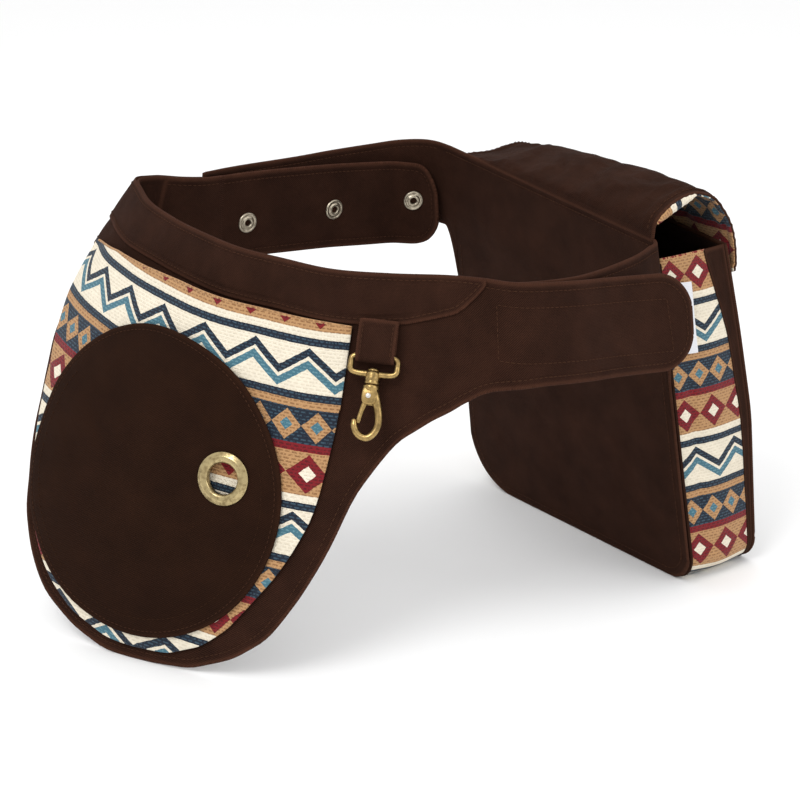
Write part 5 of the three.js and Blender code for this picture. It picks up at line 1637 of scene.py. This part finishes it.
# ------------------------------------------------------------------ rear pouch
# On the flat panel: share along it, level (share down it) and depth outwards in mm.
ALONG = unit(FAR_TOP - NEAR_TOP)


def on_panel(share, level, depth):
    share, level, depth = np.broadcast_arrays(
        np.asarray(share, float), np.asarray(level, float), np.asarray(depth, float))
    top = NEAR_TOP + (FAR_TOP - NEAR_TOP) * share[..., None]
    foot = NEAR_FOOT + (FAR_FOOT - NEAR_FOOT) * share[..., None]
    return top + (foot - top) * level[..., None] + OUT * depth[..., None]


def pouch_depth(level):
    return rounded(POUCH_DEPTH, level, soft=0.08)


def pouch_outline(inset):
    """x, y, normal x, normal y in mm: down the near side, along the bottom, up the far side."""
    left, right, bottom = inset, WIDTH - inset, HEIGHT - inset
    rim = RIM_LEVEL * HEIGHT
    near, far = R_NEAR - inset, R_FAR - inset
    points = [(left, y, -1, 0) for y in np.linspace(rim, bottom - near, 70)]
    for angle in np.linspace(0, math.pi / 2, 14)[1:]:
        cos, sin = math.cos(angle), math.sin(angle)
        points.append((left + near - near * cos, bottom - near + near * sin, -cos, sin))
    points += [(x, bottom, 0, 1) for x in np.linspace(left + near, right - far, 50)[1:]]
    for angle in np.linspace(0, math.pi / 2, 22)[1:]:
        cos, sin = math.cos(angle), math.sin(angle)
        points.append((right - far + far * sin, bottom - far + far * cos, sin, cos))
    points += [(right, y, 1, 0) for y in np.linspace(bottom - far, rim, 60)[1:]]
    return np.array(points, float)


def gusset_grid(inset, start, end, columns):
    """Points and cloth coordinates round the pouch's sides and bottom.

    start and end give, for a level, the share of the depth where the strip begins and ends.
    """
    outline = pouch_outline(inset)
    share, level = outline[:, 0] / WIDTH, outline[:, 1] / HEIGHT
    normal_x, normal_y = outline[:, 2:3], outline[:, 3:4]
    first, last = start(level)[:, None], end(level)[:, None]
    across = first + (last - first) * np.linspace(0, 1, columns)[None, :]
    depth = PANEL_BACK + (pouch_depth(level) - 0.9 - PANEL_BACK)[:, None] * across
    points = on_panel(share[:, None], level[:, None], depth)
    normals = ALONG * normal_x + np.array([0, 0, -1.0]) * normal_y
    side = np.abs(normal_x)
    length = run_length(outline[:, :2])[:, None] + 0 * across
    level = level[:, None]
    arch = np.sin(math.pi * np.clip(across, 0, 1))
    bulge = side * 2.4 * arch ** 0.8 * np.clip(level * 3.0 + 0.25, 0, 1)
    bulge = bulge + side * 0.7 * ripple(depth, length, wave=38.0, seed=2) * arch
    # a soft vertical pleat near the back seam of the near side
    pleat = (np.exp(-((across - 0.2) / 0.05) ** 2) * (normal_x < -0.5)
             * np.clip((level - 0.32) * 8, 0, 1) * np.clip((0.86 - level) * 8, 0, 1))
    points = points + normals[:, None, :] * (bulge - 0.9 * pleat)[..., None]
    return points, np.stack([depth, length], -1)


def print_end(level):
    """Share of the depth where the print meets the canvas return."""
    return rounded([[0.0, 0.66], [0.07, 0.68], [0.3, 0.85], [0.6, 0.9], [0.85, 0.93], [1, 0.94]],
                   level, soft=0.05)


def return_start(level):
    return print_end(level) - 0.012


gusset_outer, gusset_pattern = gusset_grid(0.0, np.zeros_like, print_end, columns=22)
gusset_inner, _ = gusset_grid(1.5, np.zeros_like, print_end, columns=22)
gusset = sheet("rear_gusset_print", gusset_outer, gusset_inner, gusset_pattern)
fit(gusset, PRINT, "belt", ("rear_gusset",))
return_outer, return_pattern = gusset_grid(-0.25, return_start, np.ones_like, columns=10)
return_inner, _ = gusset_grid(1.2, return_start, np.ones_like, columns=10)
return_pattern[..., 0] *= 2
fit_canvas(sheet("rear_side_return", return_outer, return_inner, return_pattern), "belt")


def panel_edge(share):
    """Level of the pouch front's lower edge."""
    x = share * WIDTH
    return 1 - np.maximum(corner_drop(x, R_NEAR), corner_drop(WIDTH - x, R_FAR)) / HEIGHT


def front_fade(share, level):
    return (np.sin(math.pi * np.clip(share, 0, 1)) ** 0.6
            * np.clip((panel_edge(share) - level) * 8, 0, 1))


def front_depth(share, level):
    """Depth of the pouch's crowned front with its soft folds."""
    crown = 5 * np.sin(math.pi * np.clip(share, 0, 1)) * np.sin(math.pi * np.clip(level, 0, 1)) ** 0.8
    x, y = share * WIDTH, level * HEIGHT
    folds = 0.9 * ripple(x, y, wave=80.0, seed=3) + 0.35 * ripple(x, y, wave=30.0, seed=8)
    return pouch_depth(level) + crown + folds * front_fade(share, level)


def make_pouch_front():
    columns = 0.5 - 0.5 * np.cos(np.linspace(0, math.pi, 110))
    share = np.repeat(columns[:, None], 84, 1)
    level = RIM_LEVEL + (panel_edge(columns)[:, None] - RIM_LEVEL) * np.linspace(0, 1, 84)[None, :]
    depth = front_depth(share, level)
    base = on_panel(share, level, depth)
    pin = np.zeros_like(share)
    pin[:2], pin[-2:], pin[:, -2:] = 1.0, 1.0, 1.0
    pin[:, :2] = np.maximum(pin[:, :2], 0.35)
    sag = settle_cloth(base, np.broadcast_to(OUT, base.shape), pin, limit=2.2, grow=0.018)
    sag = np.where(sag > 0, sag * 0.35, sag)
    depth = depth + sag * np.clip(front_fade(share, level) * 1.6 - 0.25, 0, 1)
    front = sheet("rear_front_fabric", on_panel(share, level, depth + REAR_T),
                  on_panel(share, level, depth), np.stack([share * WIDTH, level * HEIGHT], -1))
    fit_canvas(front, "belt", ("rear_front_panel",))


def make_pouch_seams():
    """Corded seams on both edges of the gusset, thin seams where print meets canvas."""
    outline = pouch_outline(-0.2)[1:]
    back = on_panel(outline[:, 0] / WIDTH, np.minimum(outline[:, 1] / HEIGHT, 0.9915),
                    PANEL_BACK - 1.15)
    fit_canvas(tube_object("rear_back_seam_cord", back, 0.95, sides=10), "belt",
               ("rear_seam_cord",))
    outline = pouch_outline(0.5)
    level = outline[:, 1] / HEIGHT
    front = on_panel(outline[:, 0] / WIDTH, level, pouch_depth(level) - 0.25)
    fit_canvas(tube_object("rear_front_seam_cord", front, 0.9, sides=10), "belt")

    seam, _ = gusset_grid(-0.1, lambda level: print_end(level) - 0.014,
                          lambda level: print_end(level) - 0.0135, columns=2)
    normal_x = outline[:, 2]
    for side, part in (("near", normal_x < -0.2), ("far", normal_x > 0.2)):
        fit_canvas(tube_object("rear_side_seam_" + side, seam[:, 0][part], 0.42, sides=8), "belt")


def bag_ring(level, inset, per_side=15):
    """Closed ring of the lining at one level, lightly puckered."""
    above = (HEIGHT - 1.9) - level * HEIGHT
    near = (1.9 + inset + float(corner_drop(above, 15.4))) / WIDTH
    far = (WIDTH - 1.9 - inset - float(corner_drop(above, 36.4))) / WIDTH
    back, front = PANEL_BACK + 0.4 + inset, float(pouch_depth(level)) - 0.8 - inset
    corners = np.array([[near, back], [far, back], [far, front], [near, front]])
    ring = np.array([start + (end - start) * t for start, end in zip(corners, np.roll(corners, -1, 0))
                     for t in np.linspace(0, 1, per_side, endpoint=False)])
    turns = np.linspace(0, 2 * math.pi * 9, len(ring), endpoint=False)
    pucker = np.abs(np.sin(turns + level * 17) * 0.35)[:, None]
    to_mm = np.array([WIDTH, 1.0])
    ring = ring - unit((ring - ring.mean(0)) * to_mm) / to_mm * pucker
    return on_panel(ring[:, 0], level, ring[:, 1])


def make_lining_bag():
    """Open bag: up the outside from the bottom, then down the inside."""
    levels = np.concatenate([np.linspace(RIM_LEVEL + 0.006, 0.85, 22), np.linspace(0.87, 0.972, 9)])
    inner_levels = levels.copy()
    inner_levels[-1] -= 0.005
    rings = [bag_ring(level, 0.0) for level in levels][::-1]
    rings += [bag_ring(level, 0.8) for level in inner_levels]
    size, count = len(rings[0]), len(rings)
    pattern = np.stack([np.tile(np.arange(size) * 8.0, count),
                        np.repeat([ring[0][2] for ring in rings], size), np.zeros(size * count)], 1)
    bag = closed_mesh("rear_pouch_lining_bag", np.vstack(rings), ring_faces(count, size),
                      {"pat": pattern, "edge": np.full(size * count, INLAND)})
    fit(bag, LINING, "belt", ("rear_lining",))


make_pouch_front()
make_pouch_seams()
make_lining_bag()

# ------------------------------------------------------------------ flap
FLAP_NEAR, FLAP_FAR = 0.002, 0.95           # shares along the panel
# Section from the hinge outwards: distance out, height, how far the height follows the
# dome, extra distance at mid-length. Two more points, down to the hem, are computed.
FLAP_SECTION = [
    [1.0, -0.6, 0, 0], [3.4, 9.8, 1, 0], [13.5, 17, 1, 0], [26, 20.5, 1, 0], [37, 19.6, 1, 0],
    [46, 13.6, 1, 0], [54.5, 0.8, 0.6, 0.4], [59.2, -10, 0, 1.2], [62.2, -24, 0, 2.2]]
FLAP_DOME = [[0, 1], [0.1, 1], [0.22, 0.95], [0.45, 0.69], [0.75, 0.34], [0.9, 0.05], [1, -0.3]]
FLAP_HEM = [[0, -27], [0.12, -38], [0.3, -58], [0.5, -66], [0.7, -58], [0.88, -38], [1, -27]]
# Changes at the ends: section point, mm.
FAR_END_HEIGHTS = ((2, 1.9), (3, 2.4), (4, 3.2), (5, 1.4), (6, -5.9), (7, -3.0))
NEAR_END_DISTANCES = ((5, 2.2), (6, 4.2), (7, 4.0), (8, 3.0))
# Creases that fan out from the middle of the seam:
# mm along, mm out, heading in radians, length, width, height.
CREASES = [
    (52, 24, 0.42, 20, 3.2, 2.0), (66, 20, 0.62, 17, 2.6, -1.7), (80, 27, 0.30, 22, 3.4, 1.9),
    (97, 21, 0.75, 15, 2.8, -1.5), (38, 33, 0.15, 18, 3.0, -1.4), (112, 32, 0.5, 19, 3.6, 1.5),
    (128, 24, 0.95, 13, 3.0, -1.2), (30, 17, 0.9, 11, 2.6, 1.2)]
FLAP_COLUMNS, FLAP_ROWS = 130, 120
FLAP_T = 1.4

flap_t = 0.5 - 0.5 * np.cos(np.linspace(0, math.pi, FLAP_COLUMNS))      # near end to far end
flap_q = np.linspace(0, len(FLAP_SECTION) + 1, FLAP_ROWS)               # hinge to hem
flap_share = FLAP_NEAR + (FLAP_FAR - FLAP_NEAR) * flap_t


def flap_surface():
    """Smooth flap: points, normals and distance from the hinge."""
    dome, hem = rounded(FLAP_DOME, flap_t, soft=0.08), rounded(FLAP_HEM, flap_t, soft=0.05)
    belly = np.sin(math.pi * flap_t)
    section = np.zeros((FLAP_COLUMNS, len(FLAP_SECTION) + 2, 2))
    for k, (distance, height, follow, bulge) in enumerate(FLAP_SECTION):
        section[:, k, 0] = distance + bulge * belly
        section[:, k, 1] = height * (1 - follow + follow * dome) if height > 0 else height
    # the far end is flatter with a lower outer corner, the near outer corner stands out
    fall = np.clip((flap_t - 0.86) / 0.14, 0, 1) ** 1.3
    for k, change in FAR_END_HEIGHTS:
        section[:, k, 1] += change * fall
    near = np.clip((0.34 - flap_t) / 0.34, 0, 1)
    for k, change in NEAR_END_DISTANCES:
        section[:, k, 0] += change * near
    for k, height in ((9, (hem - 24) / 2 - 0.5), (10, hem - 1.5)):
        slope = 0.16 + 0.25 * belly
        section[:, k, 0] = 62.2 + 2.2 * belly + (-24 - height) * slope + 2.0 * near
        section[:, k, 1] = height
    curve = np.stack([catmull(column, flap_q) for column in section])
    top = NEAR_TOP + (FAR_TOP - NEAR_TOP) * flap_share[:, None]
    points = top[:, None, :] + OUT * curve[..., :1] + np.array([0, 0, 1.0]) * curve[..., 1:2]
    normals = unit(np.cross(np.gradient(points, axis=1), np.gradient(points, axis=0)))
    if normals[FLAP_COLUMNS // 2, 35, 2] < 0:
        normals = -normals
    steps = np.linalg.norm(np.diff(points, axis=1), axis=2)
    return points, normals, np.concatenate(
        [np.zeros((FLAP_COLUMNS, 1)), np.cumsum(steps, axis=1)], 1)


def flap_folds(along, out):
    """Long folds from the far end, ripples and creases, mm."""
    far_share = np.clip((flap_t[:, None] - 0.12) * 1.6, 0, 1) ** 1.1
    folds = (1.5 * np.sin(out / 7.5 + 0.02 * along + 0.8 * np.sin(along / 40.0)) * far_share
             * np.exp(-((out - 30) / 26.0) ** 2)
             + 1.3 * ripple(along, out, wave=62.0, seed=4)
             + 0.45 * ripple(along, out, wave=24.0, seed=1))
    for x, y, heading, length, width, height in CREASES:
        cos, sin = math.cos(heading), math.sin(heading)
        ahead = (along - x) * cos + (out - y) * sin
        beside = -(along - x) * sin + (out - y) * cos
        folds = folds + height * np.exp(-(ahead / length) ** 2 - (beside / width) ** 2)
    held = np.clip(flap_q / 2.0, 0, 1)[None, :] * np.clip((10 - flap_q) / 1.6, 0, 1)[None, :]
    return np.maximum(folds, -1.6) * held


def flap_pin(out):
    """Held share of the cloth: at the hinge, the hem and both ends."""
    pin = np.maximum(np.exp(-((flap_q - 0.2) / 0.5) ** 2), np.clip(flap_q - 9.2, 0, 0.7))
    pin = pin[None, :] + 0 * out
    ends = 0.75 * np.exp(-(np.minimum(flap_t, 1 - flap_t) / 0.02) ** 2)[:, None]
    pin = np.clip(np.maximum(pin, ends), 0, 1)
    return np.where(pin < 0.02, 0.0, pin)


smooth_flap, flap_normals, flap_out = flap_surface()
flap_along = (flap_share * WIDTH)[:, None] + 0 * flap_out
end_fade = np.clip(np.minimum(flap_t, 1 - flap_t) * 14, 0, 1)[:, None] * 0.6 + 0.4
folded = 0.6 * flap_folds(flap_along, flap_out) * end_fade
settled = settle_cloth(smooth_flap + flap_normals * folded[..., None], flap_normals,
                       flap_pin(flap_out), limit=2.6, grow=0.03)
settled = np.where(settled < 0, settled * 0.5, settled) * np.clip(flap_q * 1.5, 0, 1)[None, :]
flap_points = smooth_flap + flap_normals * (folded + settled)[..., None]
flap_pattern = np.stack([flap_along, flap_out], -1)

hinge = np.array(JOINTS["flap_hinge"]["pos_m"])
FLAP_BEND = ("belt", "flap", tuple(hinge - OUT * 0.0015 - np.array([0, 0, 0.002])),
             tuple(hinge + OUT * 0.010 + np.array([0, 0, 0.006])))

flap = sheet("rear_flap_fabric", flap_points + flap_normals * FLAP_T,
             flap_points + flap_normals * 0.05, flap_pattern)
fit_canvas(flap, None, ("rear_flap",), FLAP_BEND)
lined = flap_q > 1.9
flap_lining = sheet("rear_flap_print_lining",
                    flap_points[:, lined] - flap_normals[:, lined] * 0.1,
                    flap_points[:, lined] - flap_normals[:, lined] * 0.9, flap_pattern[:, lined])
fit(flap_lining, PRINT, None, ("rear_flap_lining",), FLAP_BEND)


def make_lining_roll():
    """Printed lining rolled out along the near end, beside the seam."""
    rows = np.where((flap_q > 0.9) & (flap_q < 3.5))[0]
    across = np.linspace(0, 1, 8)[None, :]
    span = np.clip((flap_q[rows] - 0.9) / 2.6, 0, 1)
    width = (0.5 + 4.3 * np.sin(math.pi * span) ** 0.6)[:, None]
    base = (flap_points[0][rows][:, None, :]
            + flap_normals[0][rows][:, None, :] * (0.5 - width * across)[..., None])
    near = unit(NEAR_TOP - FAR_TOP)
    outer = base + near * (0.35 + 1.1 * np.sin(math.pi * (0.12 + 0.8 * across)))[..., None]
    pattern = np.stack([across * width, flap_out[0][rows][:, None] + 0 * across], -1)
    roll = sheet("rear_flap_lining_roll", outer, outer - near * 0.7, pattern, rim=2)
    fit(roll, PRINT, bend=FLAP_BEND)


def flap_line(columns, rows, lift):
    """Path on the flap at fractional grid indices."""
    i = np.clip(np.floor(columns).astype(int), 0, FLAP_COLUMNS - 2)
    j = np.clip(np.floor(rows).astype(int), 0, FLAP_ROWS - 2)
    right, down = (columns - i)[:, None], (rows - j)[:, None]

    def pick(values):
        return (values[i, j] * (1 - right) * (1 - down) + values[i + 1, j] * right * (1 - down)
                + values[i, j + 1] * (1 - right) * down + values[i + 1, j + 1] * right * down)

    normals = unit(pick(flap_normals))
    return pick(flap_points) + normals * lift, normals


def make_flap_stitching():
    """Down the near end, along the hem and up the far end."""
    columns, rows = np.arange(FLAP_COLUMNS), np.arange(FLAP_ROWS)
    near, far = (float(np.interp(t, flap_t, columns)) for t in (0.024, 0.976))
    hem_rows = np.array([float(np.interp(out[-1] - 4.2, out, rows)) for out in flap_out])
    hem = np.linspace(near, far, 260)
    hem_line = np.interp(hem, columns, hem_rows)
    path_columns = np.concatenate([np.full(160, near), hem, np.full(160, far)])
    path_rows = np.concatenate([np.linspace(6, hem_line[0], 160), hem_line,
                                np.linspace(hem_line[-1], 6, 160)])
    sew("rear_flap_stitching", [flap_line(path_columns, path_rows, FLAP_T)], width=0.27,
        bend=FLAP_BEND)


make_lining_roll()
make_flap_stitching()


# ------------------------------------------------------------------ pouch details
def pouch_front_line(share, level):
    points = on_panel(share, level, front_depth(share, level) + (REAR_T + 0.05))
    return points, np.repeat(OUT[None], len(share), 0)


# a row under the pouch mouth and one inside the front's outline
inset_outline = pouch_outline(5.0)
sew("rear_front_stitching", [
    pouch_front_line(np.linspace(0.03, 0.97, 300), np.full(300, RIM_LEVEL + 6.0 / HEIGHT)),
    pouch_front_line(inset_outline[:, 0] / WIDTH, inset_outline[:, 1] / HEIGHT)],
    "belt", width=0.26)

# magnets: CAD discs with a metal finish and bevelled edges
for node in ("pouch_magnet", "flap_magnet"):
    magnet = frame["nodes"][node]
    magnet.data.materials.clear()
    magnet.data.materials.append(STEEL)
    bevel = magnet.modifiers.new("edge", "BEVEL")
    bevel.width, bevel.segments, bevel.limit_method = 0.00022, 2, "ANGLE"


def make_care_label():
    """Small tape that stands off the near side of the pouch."""
    across, down = np.meshgrid(np.linspace(0, 1, 22), np.linspace(0, 1, 34), indexing="ij")
    away = np.array([OUT[1], -OUT[0], 0.0])
    lift = 1.6 + 3.4 * np.sin(across * 1.3) + 0.25 * np.sin(down * 5 + 1) * across
    base = on_panel(0.0, 0.125 + 0.2 * down, PANEL_BACK + 6 + 10 * across) + away * lift[..., None]
    label = sheet("care_label_tape", base + away * 0.4, base,
                  np.stack([across * 10, down * 42], -1), rim=2)
    fit(label, LABEL, "belt", ("care_label",))


make_care_label()

# ------------------------------------------------------------------ stage
bpy.ops.mesh.primitive_plane_add(size=9.0, location=(0, 0, -0.0004))
floor = bpy.context.object
floor.name = "floor"
paper = bpy.data.materials.new("floor_paper")
paper.use_nodes = True
paper_inputs = paper.node_tree.nodes["Principled BSDF"].inputs
paper_inputs["Base Color"].default_value = (0.93, 0.93, 0.93, 1)
paper_inputs["Roughness"].default_value = 0.75
floor.data.materials.append(paper)

scene = bpy.context.scene
if scene.world is None:
    scene.world = bpy.data.worlds.new("studio")
scene.world.use_nodes = True
background = scene.world.node_tree.nodes.get("Background")
background.inputs[0].default_value = (1.0, 1.0, 1.0, 1)
background.inputs[1].default_value = 1.0


def aim(ob, target):
    ob.rotation_euler = (Vector(target) - ob.location).to_track_quat("-Z", "Y").to_euler()


def disk_light(name, location, size, power):
    """Round area light aimed at the middle of the belt."""
    light = bpy.data.lights.new(name, "AREA")
    light.shape, light.size, light.energy = "DISK", size, power
    ob = bpy.data.objects.new(name, light)
    scene.collection.objects.link(ob)
    ob.location = location
    aim(ob, (0, 0, 0.1))


disk_light("key", (-0.55, -0.95, 1.35), size=0.7, power=9)
disk_light("fill", (1.1, -0.8, 0.9), size=1.0, power=3.5)
disk_light("top", (0.1, 0.35, 1.5), size=1.2, power=3)

lens = bpy.data.cameras.new("camera")
camera = bpy.data.objects.new("camera", lens)
scene.collection.objects.link(camera)
lens.sensor_width = 36
lens.lens = 96.75
camera.location = to_frame([0, -1127.63, 520.42])
aim(camera, to_frame([0, 0, 110.0]))
scene.camera = camera
scene.view_settings.view_transform = "Standard"
